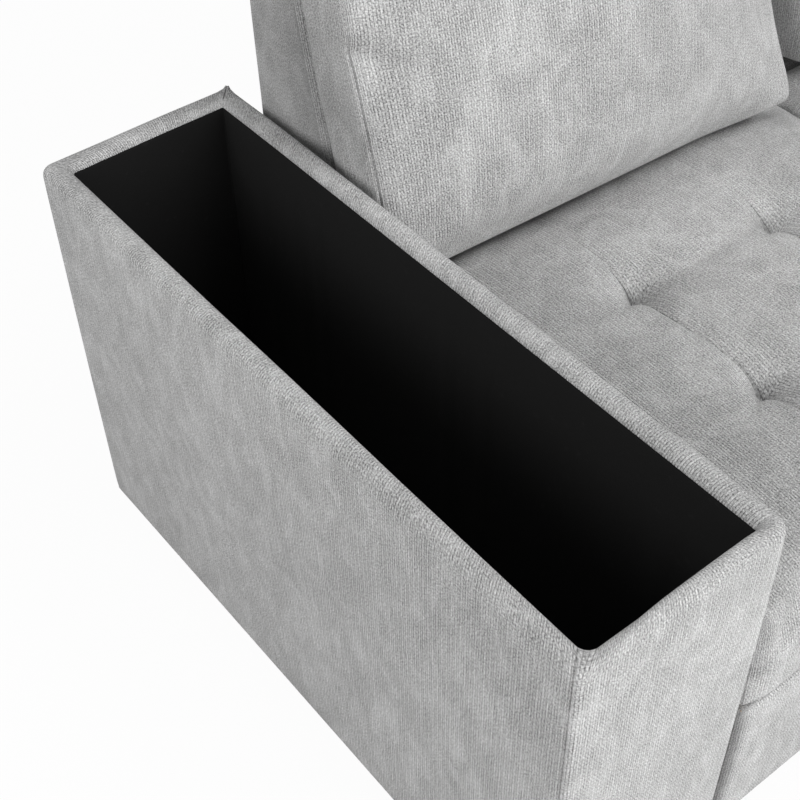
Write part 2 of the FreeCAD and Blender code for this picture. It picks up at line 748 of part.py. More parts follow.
rail = d.rail_thickness
rail_rear = rear_board_front - d.rail_rear_gap
left_rail, right_rail = sofa_left + rail_outer, sofa_right - rail_outer
low_top = d.rail_bottom + d.low_rail_height
group("bed_long_rails",
      [block("long_rail_" + name, (x, panel_rear, d.rail_bottom),
             (x + rail, rail_rear, d.rail_bottom + height))
       for name, x, height in (("left", left_rail, d.side_rail_height),
                               ("middle", sofa_middle - rail / 2, d.low_rail_height),
                               ("right", right_rail - rail, d.side_rail_height))])
cross_spots = [rail_rear - rail, (panel_rear + rail_rear) / 2]
boards("bed_cross_rails", d.rail_bottom, low_top,
       [(x0, y, x1, y + rail)
        for y in cross_spots
        for x0, x1 in ((left_rail + rail, sofa_middle - rail / 2),
                       (sofa_middle + rail / 2, right_rail - rail))])

wheel_lines = {"front": panel_rear + d.wheel_front, "rear": rail_rear - d.wheel_rear}
rail_centres = [left_rail + rail / 2, sofa_middle, right_rail - rail / 2]
ear_inner = d.wheel_width / 2 + d.bracket_side_gap
ear_outer = ear_inner + d.bracket_plate
plate_bottom = d.rail_bottom - d.bracket_plate
bracket_foot = d.wheel_radius - 3 * d.axle_radius
brackets, axles = [], []
for line, wheel_y in wheel_lines.items():
    wheels = []
    for number, x in enumerate(rail_centres, start=1):
        tag = f"{line}_{number}"
        half = d.bracket_width / 2
        axle_base = (x - ear_outer, wheel_y, d.wheel_radius)
        plate = block("plate_" + tag, (x - ear_outer, wheel_y - half, plate_bottom),
                      (x + ear_outer, wheel_y + half, d.rail_bottom))
        ears = [block(f"ear_{side}_{tag}", (x + low, wheel_y - half, bracket_foot),
                      (x + high, wheel_y + half, plate_bottom))
                for side, low, high in (("a", -ear_outer, -ear_inner), ("b", ear_inner, ear_outer))]
        hole = rod("hole_" + tag, axle_base, "x", d.axle_radius, 2 * ear_outer)
        brackets.append(less("bracket_" + tag, joined("yoke_" + tag, [plate] + ears), hole))
        axles.append(rod("axle_" + tag, axle_base, "x", d.axle_radius, 2 * ear_outer))
        tyre = rod("tyre_" + tag, (x - d.wheel_width / 2, wheel_y, d.wheel_radius), "x",
                   d.wheel_radius, d.wheel_width)
        doc.recompute()
        rounded = doc.addObject("Part::Fillet", "rounded_" + tag)
        rounded.Base = tyre
        rounded.Edges = [(i, float(d.wheel_round), float(d.wheel_round))
                         for i, edge in enumerate(tyre.Shape.Edges, start=1)
                         if isinstance(edge.Curve, Part.Circle)]
        bore = rod("bore_" + tag, (x - d.wheel_width / 2, wheel_y, d.wheel_radius), "x",
                   d.axle_radius + d.running_gap, d.wheel_width)
        wheels.append(less("wheel_" + tag, rounded, bore))
    group(f"{line}_bed_wheels", wheels)
group("bed_wheel_brackets", brackets)
group("bed_wheel_axles", axles)

platform_low = left_rail + rail + d.platform_inset
platform_high = right_rail - rail - d.platform_inset
platform_front = panel_rear + d.platform_front
platform_rear = rail_rear - d.platform_rear_gap
batten_top = d.platform_bottom + d.batten_height
board_top = batten_top + d.platform_board
batten_count = 5
batten_pitch = (platform_high - platform_low - d.batten_width) / batten_count
boards("platform_battens", d.platform_bottom, batten_top,
       [(platform_low + n * batten_pitch, platform_front,
         platform_low + n * batten_pitch + d.batten_width, platform_rear)
        for n in range(batten_count + 1)])
boards("platform_board", batten_top, board_top,
       [(platform_low, platform_front, platform_high, platform_rear)])
soft_feature("platform_cushion", soft_block(
    float(platform_low), float(platform_front), float(platform_high), float(platform_rear),
    float(board_top), float(d.platform_edge), float(d.platform_crown),
    float(d.platform_pull), float(d.platform_round)))

upper_height = d.platform_bottom + d.batten_height / 2
lift_rise = upper_height - d.lift_pivot_height
lift_room = (rail_rear - d.lift_rear) - (panel_rear + d.lift_front)
lift_run = (lift_room - d.lift_gap) / 2
lift_length = hypotenuse(lift_run, lift_rise)
lift_slope = math.degrees(math.atan2(float(lift_rise), -float(lift_run)))


def make_lift():
    """Lift arms with their pins, and a spring on each side."""
    bars, pins, springs = [], [], []
    slack = (d.platform_inset - d.lift_bar) / 2
    for side, rail_face, batten_face in (("left", left_rail + rail, platform_low),
                                         ("right", platform_high, right_rail - rail)):
        bar_x = rail_face + slack
        to_rail_low, to_batten_low = ((rail_face, bar_x) if side == "left"
                                      else (bar_x, rail_face))
        for number in range(2):
            upper_y = panel_rear + d.lift_front + number * (lift_run + d.lift_gap)
            tag = f"{side}_{number + 1}"
            lower_y = upper_y + lift_run
            ends = [(lower_y, d.lift_pivot_height, to_rail_low),
                    (upper_y, upper_height, to_batten_low)]
            bar = doc.addObject("Part::Box", "bar_" + tag)
            for prop, size in (("Length", d.lift_bar), ("Width", lift_length),
                               ("Height", d.lift_width)):
                bind(bar, prop, size)
            turn = Rotation(Vector(1, 0, 0), lift_slope)
            down = turn.multVec(Vector(0, 0, -float(d.lift_width) / 2))
            bar.Placement = Placement(
                Vector(float(bar_x), float(lower_y) + down.y,
                       float(d.lift_pivot_height) + down.z), turn)
            eyes = [rod(f"eye_{n}_{tag}", (bar_x, y, z), "x", d.lift_width / 2, d.lift_bar)
                    for n, (y, z, low) in enumerate(ends)]
            holes = joined("lift_holes_" + tag,
                           [rod(f"lift_hole_{n}_{tag}", (bar_x, y, z), "x",
                                d.lift_pin + d.running_gap, d.lift_bar)
                            for n, (y, z, low) in enumerate(ends)])
            bars.append(less("lift_" + tag, joined("lift_blank_" + tag, [bar] + eyes), holes))
            reach = d.lift_bar + slack
            for n, (y, z, low) in enumerate(ends):
                pins.append(rod(f"lift_pin_{n}_{tag}", (low, y, z), "x", d.lift_pin, reach))
        spring_x = rail_face + d.platform_inset / 2
        start_y = rail_rear - d.lift_spring_rear - d.lift_spring_length
        springs.append(rod("spring_" + side, (spring_x, start_y, d.lift_spring_height), "y",
                           d.lift_spring_radius, d.lift_spring_length))
        post_low = rail_face if side == "left" else bar_x
        for n, y in enumerate((start_y - d.lift_pin, start_y + d.lift_spring_length + d.lift_pin)):
            pins.append(rod(f"spring_post_{n}_{side}", (post_low, y, d.lift_spring_height), "x",
                            d.lift_pin, reach))
    group("lift_arms", bars)
    group("lift_pins", pins)
    group("lift_springs", springs)


make_lift()


# Storage chaise

box_low, box_high = chaise_left + d.chaise_pad, chaise_right - d.chaise_pad
box_front, box_rear = chaise_front + d.chaise_pad, back_rear - d.chaise_pad
board = d.chaise_board
chaise_floor = d.foot_height + board
hinge_y = back_rear - d.back_foot - d.fixed_seat
boards("chaise_bottom_board", d.foot_height, chaise_floor,
       [(box_low, box_front, box_high, box_rear)])
boards("chaise_side_boards", chaise_floor, d.deck_bottom,
       [(box_low, box_front, box_low + board, box_rear),
        (box_high - board, box_front, box_high, box_rear)])
boards("chaise_end_boards", chaise_floor, d.deck_bottom,
       [(box_low + board, box_front, box_high - board, box_front + board),
        (box_low + board, box_rear - board, box_high - board, box_rear)])
tray("chaise_lining", (box_low + board, box_front + board, chaise_floor),
     (box_high - board, box_rear - board, d.deck_bottom - d.lining_wall),
     d.lining_wall, d.lining_wall)
chaise_cover = new_body("chaise_cover")
ring = new_sketch(chaise_cover, "XY_Plane")
chaise_long = back_rear - chaise_front
draw_rectangle(ring, 0, 0, d.seat_width, chaise_long)
draw_rectangle(ring, d.chaise_pad, d.chaise_pad, d.seat_width - d.chaise_pad,
               chaise_long - d.chaise_pad)
walls = pad(chaise_cover, ring, d.deck_bottom - d.foot_height)
fillet(chaise_cover, walls, d.chaise_corner, lambda edge: is_upright(edge)
       and min(abs(edge.CenterOfMass.x), abs(edge.CenterOfMass.x - float(d.seat_width))) < edge_tolerance)
place(chaise_cover, chaise_left, chaise_front, d.foot_height)

leaf_out = d.hinge_radius
upstand_top = d.hinge_height - d.hinge_radius - d.hinge_gap
fixed_front = hinge_y + leaf_out
profile_along_x("chaise_rear_deck", chaise_left, d.seat_width,
                [(fixed_front, d.deck_bottom), (back_rear, d.deck_bottom), (back_rear, deck_top),
                 (fixed_front + d.lid_board, deck_top), (fixed_front + d.lid_board, upstand_top),
                 (fixed_front, upstand_top)])
lid_rear = hinge_y - leaf_out
lid_front = chaise_front + d.seat_lip
lid_top = d.deck_bottom + d.lid_board
profile_along_x("chaise_lid_board", chaise_left + d.seat_lip, d.seat_width - 2 * d.seat_lip,
                [(lid_front, d.deck_bottom), (lid_rear, d.deck_bottom), (lid_rear, upstand_top),
                 (lid_rear - d.lid_board, upstand_top), (lid_rear - d.lid_board, lid_top),
                 (lid_front, lid_top)])


def make_chaise_cushions():
    gap = float(d.soft_gap)
    x0, x1 = float(chaise_left) + gap / 2, float(chaise_right) - gap / 2
    edge, crown, lip = float(d.seat_edge), float(d.seat_crown), float(d.seat_lip)
    bottom = float(d.deck_bottom) + gap
    pull = float(d.seat_pull)
    y0, y1 = float(chaise_front), float(lid_rear) - gap
    lid = soft_block(x0, y0, x1, y1, bottom, edge, crown, pull, float(d.seat_round))
    board_low = float(chaise_left + d.seat_lip)
    board_width = float(d.seat_width - 2 * d.seat_lip)
    lid_block = Part.makeBox(board_width, float(lid_rear - lid_front) + lip,
                             float(d.lid_board) + lip,
                             Vector(board_low, float(lid_front), float(d.deck_bottom) - lip))
    upstand = Part.makeBox(board_width, float(d.lid_board) + lip,
                           float(upstand_top - d.deck_bottom) + lip,
                           Vector(board_low, float(lid_rear - d.lid_board),
                                  float(d.deck_bottom) - lip))
    lid = lid.cut(lid_block).cut(upstand)
    first = float(arm_front + d.tuft_row + d.tuft_row_pitch)
    rows = []
    row = first
    while row > y0 + float(d.tuft_row_pitch) / 2:
        if row < y1 - float(d.tuft_radius):
            rows.append(row)
        row -= float(d.tuft_row_pitch)
    lid = tufted(lid, [float(chaise_left + c) for c in tuft_columns], rows, edge + crown)
    soft_feature("chaise_lid_cushion", lid)
    y0, y1 = float(fixed_front) + gap, float(seat_back)
    rest = soft_block(x0, y0, x1, y1, float(deck_top), edge, float(d.rear_seat_crown),
                      pull, float(d.rear_seat_round))
    behind = Part.makeBox(x1 - x0 + lip, float(d.lid_board) - gap + lip,
                          float(upstand_top - deck_top) + lip,
                          Vector(x0 - lip / 2, y0 - lip, float(deck_top) - lip))
    soft_feature("chaise_rear_cushion", rest.cut(behind))


make_chaise_cushions()


def make_lid_hinge():
    """A long hinge between the fixed rear seat and the lid."""
    start, end = chaise_left + d.hinge_margin, chaise_right - d.hinge_margin
    knuckles = 5
    pitch = (end - start) / knuckles
    leaf_top = d.hinge_height - d.hinge_radius - d.hinge_gap
    leaf_bottom = d.hinge_height - d.hinge_drop
    spots = {"fixed": (hinge_y + leaf_out - d.hinge_leaf, hinge_y + leaf_out, 0),
             "moving": (hinge_y - leaf_out, hinge_y - leaf_out + d.hinge_leaf, 1)}
    for kind, (front, back, first) in spots.items():
        pieces = [block(f"{kind}_leaf", (start, front, leaf_bottom), (end, back, leaf_top))]
        bores = []
        for number in range(first, knuckles, 2):
            low = start + number * pitch + d.hinge_gap
            high = start + (number + 1) * pitch - d.hinge_gap
            tag = f"{kind}_{number}"
            pieces.append(block("tab_" + tag, (low, front, leaf_top), (high, back, d.hinge_height)))
            pieces.append(rod("knuckle_" + tag, (low, hinge_y, d.hinge_height), "x",
                              d.hinge_radius, high - low))
            bores.append(rod("bore_" + tag, (low, hinge_y, d.hinge_height), "x",
                             d.hinge_pin + d.running_gap, high - low))
        name = f"lid_hinge_{kind}_leaf"
        keep(name, less(name, joined(name + "_blank", pieces), joined(name + "_bores", bores)))
    keep("lid_hinge_pin", rod("lid_hinge_pin", (start, hinge_y, d.hinge_height), "x",
                              d.hinge_pin, end - start))


make_lid_hinge()

# Gas springs: both pivots lie on one circle about the hinge, so a strut turns half as far as the lid
lower_y = hinge_y - leg(d.strut_reach, d.strut_box_drop)
lower_z = d.hinge_height - d.strut_box_drop
upper_y = hinge_y - leg(d.strut_reach, d.strut_lid_drop)
upper_z = d.hinge_height - d.strut_lid_drop


def make_gas_springs():
    rise, run = float(upper_z - lower_z), float(upper_y - lower_y)
    length = math.hypot(rise, run)
    along = Vector(0, run / length, rise / length)
    turn = Rotation(Vector(0, 0, 1), along)
    eye, width, stud = float(d.strut_eye), float(d.strut_eye_width), float(d.strut_stud)
    slack = float(d.running_gap)
    end_gap = float(d.strut_end_gap)
    bore_floor = float(d.strut_floor)
    box_plates, lid_plates = [], []
    inner_low, inner_high = box_low + board + d.lining_wall, box_high - board - d.lining_wall
    for side, x, wall, sign in (("left", box_low + board + d.strut_inset, inner_low, 1),
                                ("right", box_high - board - d.strut_inset, inner_high, -1)):
        centre = float(x)
        for piece, pivot_y, pivot_z, direction, radius, reach in (
                ("cylinder", lower_y, lower_z, 1, d.strut_radius, length - eye - end_gap),
                ("rod", upper_y, upper_z, -1, d.strut_rod, length - bore_floor - end_gap)):
            pivot = Vector(centre, float(pivot_y), float(pivot_z))
            axis = along * direction
            shape = Part.makeCylinder(float(radius), reach, pivot, axis)
            hub = Part.makeCylinder(eye, width, pivot - Vector(width / 2, 0, 0), Vector(1, 0, 0))
            shape = shape.fuse(hub).removeSplitter()
            if piece == "cylinder":
                shape = shape.cut(Part.makeCylinder(float(d.strut_bore), reach,
                                                    pivot + axis * bore_floor, axis))
            shape = shape.cut(Part.makeCylinder(stud + slack, 2 * width,
                                                pivot - Vector(width, 0, 0), Vector(1, 0, 0)))
            soft_feature(f"{side}_gas_{piece}", shape)
        half = d.strut_plate_width / 2
        plate_x = sorted((wall, wall + sign * d.strut_plate), key=float)
        stud_x = sorted((wall + sign * d.strut_plate, x + sign * d.strut_eye_width / 2), key=float)
        plate = block("box_plate_" + side,
                      (plate_x[0], lower_y - half, lower_z - d.strut_plate_height / 2),
                      (plate_x[1], lower_y + half, lower_z + d.strut_plate_height / 2))
        pin = rod("box_stud_" + side, (stud_x[0], lower_y, lower_z), "x", d.strut_stud,
                  stud_x[1] - stud_x[0])
        box_plates.append(joined("box_bracket_" + side, [plate, pin]))
        ear_x = x + sign * (d.strut_eye_width / 2 + d.running_gap)
        ear = sorted((ear_x, ear_x + sign * d.strut_plate), key=float)
        flange = sorted((ear_x, ear_x + sign * d.strut_plate_width / 2), key=float)
        web = block("lid_web_" + side, (ear[0], upper_y - half, upper_z - d.strut_eye),
                    (ear[1], upper_y + half, d.deck_bottom))
        foot = block("lid_flange_" + side,
                     (flange[0], upper_y - half, d.deck_bottom - d.strut_plate),
                     (flange[1], upper_y + half, d.deck_bottom))
        stud_low = sorted((x - sign * d.strut_eye_width / 2, ear_x), key=float)
        upper_pin = rod("lid_stud_" + side, (stud_low[0], upper_y, upper_z), "x", d.strut_stud,
                        stud_low[1] - stud_low[0])
        lid_plates.append(joined("lid_bracket_" + side, [web, foot, upper_pin]))
    group("gas_spring_box_brackets", box_plates)
    group("gas_spring_lid_brackets", lid_plates)


make_gas_springs()


# Loose back cushions

def make_back_cushion(label, low_x):
    """A boxed cushion that stands on the seat and leans on the backrest."""
    width = float(d.seat_width - 2 * d.cushion_gap)
    high, thick = float(d.cushion_height), float(d.cushion_thickness)
    corner = float(d.cushion_corner)
    inset_shares = [(0, 0.5), (0.08, 0.15), (0.3, 0), (0.55, 0), (0.75, 0.5), (0.88, 1.5),
                    (0.96, 3.2), (1, 5.0)]
    outlines = []
    for thickness_share, inset_share in inset_shares:
        inset = corner * inset_share
        outlines.append(drawn_in_outline(inset, inset, width - inset, high - inset,
                                         thick * thickness_share, float(d.cushion_pull)))
    shape = Part.makeLoft(outlines, True, True)
    slope = float((d.back_foot - d.back_top) / (d.back_height - deck_top))
    lean = math.degrees(math.atan(slope))
    # The loft's own y runs up the backrest and its z away from it, towards the front
    turn = Rotation(Vector(1, 0, 0), 90 - lean)
    foot_z = float(d.seat_edge + d.seat_crown + d.soft_gap)
    wall_y = float(back_rear - d.back_foot) + (foot_z - float(deck_top)) * slope
    clear = float(d.soft_gap) / math.cos(math.radians(lean))
    feature = soft_feature(label, shape)
    base = Vector(float(low_x + d.cushion_gap), wall_y - clear, foot_z)
    feature.Placement = Placement(base, turn)
    doc.recompute()
    drop = foot_z - feature.Shape.BoundBox.ZMin
    base.z += drop
    base.y += drop * slope
    feature.Placement = Placement(base, turn)
    return feature


make_back_cushion("left_back_cushion", sofa_left)
make_back_cushion("middle_back_cushion", sofa_middle)
make_back_cushion("chaise_back_cushion", chaise_left)


# Plates that tie the modules together

def make_connectors():
    low, high = d.connector_rise, d.connector_rise + d.connector_height
    rectangles = []
    for x in (sofa_left - d.module_gap, sofa_right, chaise_right):
        for y in (arm_front + d.connector_width, back_rear - 2 * d.connector_width):
            rectangles.append((x, y, x + d.module_gap, y + d.connector_width))
    boards("module_connectors", low, high, rectangles)


make_connectors()

doc.recompute()
for item in doc.Objects:
    if "Invalid" in item.State or "Error" in item.State:
        raise RuntimeError(f"{item.Label}: {item.State}")
for node in nodes:
    if node.Shape.isNull() or not node.Shape.isValid():
        raise RuntimeError(f"{node.Label}: bad shape")
if len(nodes) != len({node.Label for node in nodes}):
    raise RuntimeError("two sub-parts share a name")
for node in nodes:
    node.Shape.exportStep(f"parts/{node.Label}.step")
print(len(nodes), "sub-parts")
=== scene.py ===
import json
import math

import bmesh
import bpy
import numpy as np
from mathutils import Matrix, Vector


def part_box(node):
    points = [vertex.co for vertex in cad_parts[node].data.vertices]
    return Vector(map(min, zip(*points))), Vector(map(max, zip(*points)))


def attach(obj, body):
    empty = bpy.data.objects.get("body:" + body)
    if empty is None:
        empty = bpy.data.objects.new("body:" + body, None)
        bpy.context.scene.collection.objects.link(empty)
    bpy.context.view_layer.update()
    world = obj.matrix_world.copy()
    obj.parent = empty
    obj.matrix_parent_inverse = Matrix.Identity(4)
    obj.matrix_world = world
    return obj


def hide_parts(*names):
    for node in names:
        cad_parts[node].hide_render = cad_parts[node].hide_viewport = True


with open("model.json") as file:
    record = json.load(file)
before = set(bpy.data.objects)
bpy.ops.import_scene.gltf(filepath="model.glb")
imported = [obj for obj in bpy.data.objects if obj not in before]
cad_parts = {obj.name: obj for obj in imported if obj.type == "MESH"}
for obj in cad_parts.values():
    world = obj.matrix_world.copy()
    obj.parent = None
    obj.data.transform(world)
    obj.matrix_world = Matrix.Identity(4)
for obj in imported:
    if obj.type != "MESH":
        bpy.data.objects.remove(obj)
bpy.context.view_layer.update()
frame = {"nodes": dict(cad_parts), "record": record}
scene = bpy.context.scene
millimetre = 0.001


# Camera, at the photograph's viewing angle

def makeCamera():
    view = {
        "place": (-1.7667, -0.5204, 1.5251),
        "heading": 37.524,     # degrees from the rear towards +X
        "pitch": 46.066,       # degrees below the horizon
        "roll": -1.538,
        "lens": 65.03,         # for a sensor 36 wide
    }
    data = bpy.data.cameras.new("camera")
    data.sensor_width = 36
    data.lens = view["lens"]
    data.clip_start, data.clip_end = 0.05, 60
    camera = bpy.data.objects.new("camera", data)
    scene.collection.objects.link(camera)
    turn = (Matrix.Rotation(-math.radians(view["heading"]), 4, "Z")
            @ Matrix.Rotation(math.radians(90 - view["pitch"]), 4, "X")
            @ Matrix.Rotation(math.radians(view["roll"]), 4, "Z"))
    camera.matrix_world = Matrix.Translation(view["place"]) @ turn
    scene.camera = camera


makeCamera()
print("camera")


# Shader arithmetic: a socket that takes sums

class Wire:
    def __init__(self, finish, socket):
        self.finish = finish
        self.socket = socket

    def sum(self, operation, *others):
        return self.finish.node("ShaderNodeMath", {"operation": operation},
                                dict(enumerate((self, *others))))

    def __add__(self, other):
        return self.sum("ADD", other)

    def __sub__(self, other):
        return self.sum("SUBTRACT", other)

    def __mul__(self, other):
        return self.sum("MULTIPLY", other)

    def __rsub__(self, other):
        return self * -1.0 + other

    __radd__ = __add__
    __rmul__ = __mul__

    def sine(self):
        return self.sum("SINE")

    def size(self):
        return self.sum("ABSOLUTE")

    def above(self, other):
        return self.sum("MAXIMUM", other)

    def ramp(self, low, high):
        # 0 at low, 1 at high, with soft ends
        return self.finish.node("ShaderNodeMapRange", {"interpolation_type": "SMOOTHSTEP"},
                                {"Value": self, "From Min": low, "From Max": high})


class Nodes:
    def __init__(self, tree):
        self.tree = tree

    def feed(self, socket, value):
        if isinstance(value, Wire):
            self.tree.links.new(value.socket, socket)
        else:
            socket.default_value = value

    def node(self, kind, settings, sockets, output=0):
        made = self.tree.nodes.new(kind)
        for key, value in settings.items():
            setattr(made, key, value)
        for key, value in sockets.items():
            self.feed(made.inputs[key], value)
        return Wire(self, made.outputs[output])

    def weave(self):
        # the piece's own UV, in metres: across the ribs, along the ribs
        return self.node("ShaderNodeUVMap", {"uv_map": "weave"}, {})

    def place(self):
        return self.node("ShaderNodeTexCoord", {}, {}, output="Object")

    def part(self, vector, number):
        return self.node("ShaderNodeSeparateXYZ", {}, {0: vector}, output=number)

    def scaled(self, vector, factors):
        return self.node("ShaderNodeVectorMath", {"operation": "MULTIPLY"}, {0: vector, 1: factors})

    def noise(self, vector, scale, detail=2.0, roughness=0.5, distortion=0.0):
        return self.node("ShaderNodeTexNoise", {}, {
            "Vector": vector, "Scale": scale, "Detail": detail,
            "Roughness": roughness, "Distortion": distortion})

    def mix(self, factor, one, other):
        return self.node("ShaderNodeMix", {"data_type": "RGBA"}, {0: factor, 6: one, 7: other},
                         output=2)

    def seenDirectly(self):
        # 1 for what the camera sees straight on, in a gloss or through glass
        seen = [self.node("ShaderNodeLightPath", {}, {}, output=f"Is {kind} Ray")
                for kind in ("Camera", "Glossy", "Transmission")]
        return seen[0].above(seen[1]).above(seen[2])


class Finish(Nodes):
    def __init__(self, name, **constants):
        self.material = bpy.data.materials.new(name)
        self.material.use_nodes = True
        super().__init__(self.material.node_tree)
        self.shader = self.tree.nodes["Principled BSDF"]
        for socket, value in constants.items():
            self.shader.inputs[socket.replace("_", " ")].default_value = value

    def bump(self, height, distance, strength=1.0):
        self.feed(self.shader.inputs["Normal"], self.node("ShaderNodeBump", {}, {
            "Height": height, "Distance": distance, "Strength": strength}))

    def colour(self, value):
        self.feed(self.shader.inputs["Base Color"], value)

    def rough(self, value):
        self.feed(self.shader.inputs["Roughness"], value)


def grey(level, warmth=0.0):
    return (level + warmth, level, level - warmth, 1.0)


# Finishes

def makeChenille():
    # ribbed pile: upright ribs of short yarn tufts, fluff over them, a nap with cloudy patches, and
    # painted shade in the valleys between the ribs
    weave = {
        "ribPitch": 3.2, "tuftPitch": 2.4, "stitchPitch": 6.1,      # mm
        "wander": 1.7,                   # how far the ribs stray, as an angle
        "fluff": 520.0,                  # grain of the fibres, in scales of the noise
        "light": 0.93, "dark": 0.04,     # greys of the tips and of the gaps between them; the gaps' darkness is painted shade
        "depth": 0.0011,                 # of the relief, in metres
    }
    cloth = Finish("chenille", Sheen_Weight=0.20, Sheen_Roughness=0.45, Specular_IOR_Level=0.15)
    lay = cloth.weave()
    ribs, tufts = 1 / (weave["ribPitch"] * millimetre), 1 / (weave["tuftPitch"] * millimetre)
    # a rib is the size of a sine: narrow valleys between broad ribs, which wander a little; the
    # valleys are low in the relief and darkened in the colour as painted shade
    wander = cloth.noise(cloth.scaled(lay, (60.0, 22.0, 0.0)), 1.0, 2.0) - 0.5
    phase = cloth.part(lay, 0) * (math.pi * ribs) + wander * weave["wander"]
    wave = phase.sine()
    # slanting stitches, one to a rib, which repeat up the cloth
    stitches = 2 * math.pi / (weave["stitchPitch"] * millimetre)
    twill = (phase * 2.0 + cloth.part(lay, 1) * stitches).sine()
    valley = 1.0 - wave.size().ramp(0.0, 0.66)
    # the valleys are dashed, one dash to a tuft, and shallow in some patches
    dash = cloth.noise(cloth.scaled(lay, (0.9 * ribs, 0.5 * tufts, 0.0)), 1.0, 1.0).ramp(0.30, 0.52)
    shallow = cloth.noise(lay, 26.0, 2.0, 0.6).ramp(0.36, 0.66)
    rib = 1.0 - valley * (dash * 0.4 + 0.6) * (shallow * 0.4 + 0.6)
    grain = cloth.scaled(lay, (1.3 * ribs, 0.9 * tufts, 0.0))
    yarn = cloth.noise(grain, 1.0, 2.0, 0.65).ramp(0.38, 0.62)
    fluff = cloth.noise(lay, weave["fluff"], 1.0, 0.6).ramp(0.38, 0.62)
    cloth.bump(rib * 1.15 + yarn * 0.2 + fluff * 0.2, weave["depth"], 0.8)
    # the nap lies one way in some patches and another in others, which shows as clouds
    solid = cloth.place()
    cloud = cloth.noise(solid, 8.0, 5.0, 0.62, 0.5).ramp(0.34, 0.68)
    patch = cloth.scaled(solid, (30.0, 30.0, 15.0))
    streak = cloth.noise(patch, 1.0, 4.0, 0.68, 1.0).ramp(0.38, 0.66)
    # painted shade: the rib term darkens the colour in the valleys between the ribs, where shade
    # falls among the pile
    tone = cloud * 0.07 + streak * 0.11 + yarn * 0.14 + fluff * 0.28 + rib * 0.22
    tone = tone + wave * 0.035 + twill * 0.05 + 0.008
    cloth.colour(cloth.mix(tone, grey(weave["dark"], 0.001), grey(weave["light"], 0.001)))
    cloth.rough(0.80 + yarn * 0.14)
    return cloth.material


def makeLining():
    # black non-woven cloth with fine pressed dots and a few scuffs
    cloth = Finish("black_lining", Sheen_Weight=0.03, Sheen_Roughness=0.5, Specular_IOR_Level=0.2)
    solid = cloth.place()
    grain = cloth.noise(solid, 700.0, 3.0, 0.7)
    dots = cloth.noise(solid, 95.0, 1.0).ramp(0.70, 0.76)
    scuff = cloth.noise(cloth.scaled(solid, (9.0, 9.0, 70.0)), 1.0, 3.0, 0.6, 1.5).ramp(0.70, 0.78)
    cloth.colour(cloth.mix(dots * 0.10 + scuff * 0.05 + grain * 0.06, grey(0.0028), grey(0.036)))
    cloth.rough(0.72 + grain * 0.2)
    cloth.bump(grain, 0.0005, 0.5)
    return cloth.material


def makeTimber(name, light, dark, stretch, ringScale):
    # grain runs along the axis whose stretch is small
    wood = Finish(name, Specular_IOR_Level=0.3)
    solid = wood.place()
    lay = wood.scaled(solid, stretch)
    rings = wood.noise(lay, ringScale, 3.0, 0.55, 1.4)
    bands = (rings * 40.0).sine() * 0.5 + 0.5
    fibre = wood.noise(wood.scaled(solid, tuple(9 * s for s in stretch)), ringScale * 3, 3.0, 0.7)
    tone = bands * 0.55 + fibre * 0.45
    wood.colour(wood.mix(tone, dark, light))
    wood.rough(0.62 + fibre * 0.2)
    wood.bump(fibre, 0.0006, 0.5)
    return wood.material


def makeMetal(name, base, rough, brushed=0.0, metallic=1.0):
    metal = Finish(name, Metallic=metallic)
    solid = metal.place()
    cloudy = metal.noise(solid, 60.0, 4.0, 0.6)
    fine = metal.noise(metal.scaled(solid, (900.0, 60.0, 900.0)), 1.0, 2.0)
    metal.colour(metal.mix(cloudy, tuple(0.82 * c for c in base[:3]) + (1.0,), base))
    metal.rough(rough + cloudy * 0.12)
    metal.bump(fine * brushed + cloudy * 0.3, 0.0003, 0.4)
    return metal.material


def makePlastic(name, base, rough):
    plastic = Finish(name)
    solid = plastic.place()
    pebble = plastic.noise(solid, 1400.0, 2.0, 0.6)
    wear = plastic.noise(solid, 35.0, 4.0, 0.6)
    plastic.colour(plastic.mix(wear, tuple(0.8 * c for c in base[:3]) + (1.0,), base))
    plastic.rough(rough + wear * 0.15)
    plastic.bump(pebble, 0.0004, 0.4)
    return plastic.material


finishes = {
    "upholstery": makeChenille(),
    "lining": makeLining(),
    "plywood": makeTimber("plywood", light=(0.66, 0.49, 0.30, 1), dark=(0.50, 0.34, 0.19, 1),
                          stretch=(1.5, 12, 12), ringScale=1.0),
    "pine": makeTimber("pine", light=(0.76, 0.57, 0.34, 1), dark=(0.55, 0.35, 0.17, 1),
                       stretch=(3, 9, 14), ringScale=1.3),
    "zinc_steel": makeMetal("zinc_steel", (0.63, 0.64, 0.66, 1), 0.32, 0.6),
    "black_steel": makeMetal("black_steel", (0.035, 0.035, 0.037, 1), 0.38, 0.2, 0.7),
    "chrome": makeMetal("chrome", (0.80, 0.81, 0.82, 1), 0.08, 0.1),
    "black_plastic": makePlastic("black_plastic", (0.022, 0.022, 0.023, 1), 0.48),
    "wheel_plastic": makePlastic("wheel_plastic", (0.06, 0.06, 0.064, 1), 0.38),
}
print("finishes")


# Grids and meshes

def smooth(x):
    x = np.clip(x, 0, 1)
    return x * x * (3 - 2 * x)


def hill(x, width):
    # a bell of height 1
    return np.exp(-(x / width) ** 2)


def ticks(length, coarse, fine, reach, marks=()):
    # places along a length, closer together near its ends and near the marks
    spots = np.linspace(0, length, 4001)
    near = np.min([np.abs(spots - mark) for mark in (0, length, *marks)], axis=0)
    perStep = 1 / (fine + (coarse - fine) * smooth(near / reach))
    count = np.concatenate([[0], np.cumsum((perStep[1:] + perStep[:-1]) / 2 * np.diff(spots))])
    return np.interp(np.linspace(0, count[-1], math.ceil(count[-1]) + 1), count, spots)


def gridFaces(rows, columns):
    first = (np.arange(rows - 1)[:, None] * columns + np.arange(columns - 1)).ravel()
    return np.stack([first, first + 1, first + columns + 1, first + columns], axis=1)


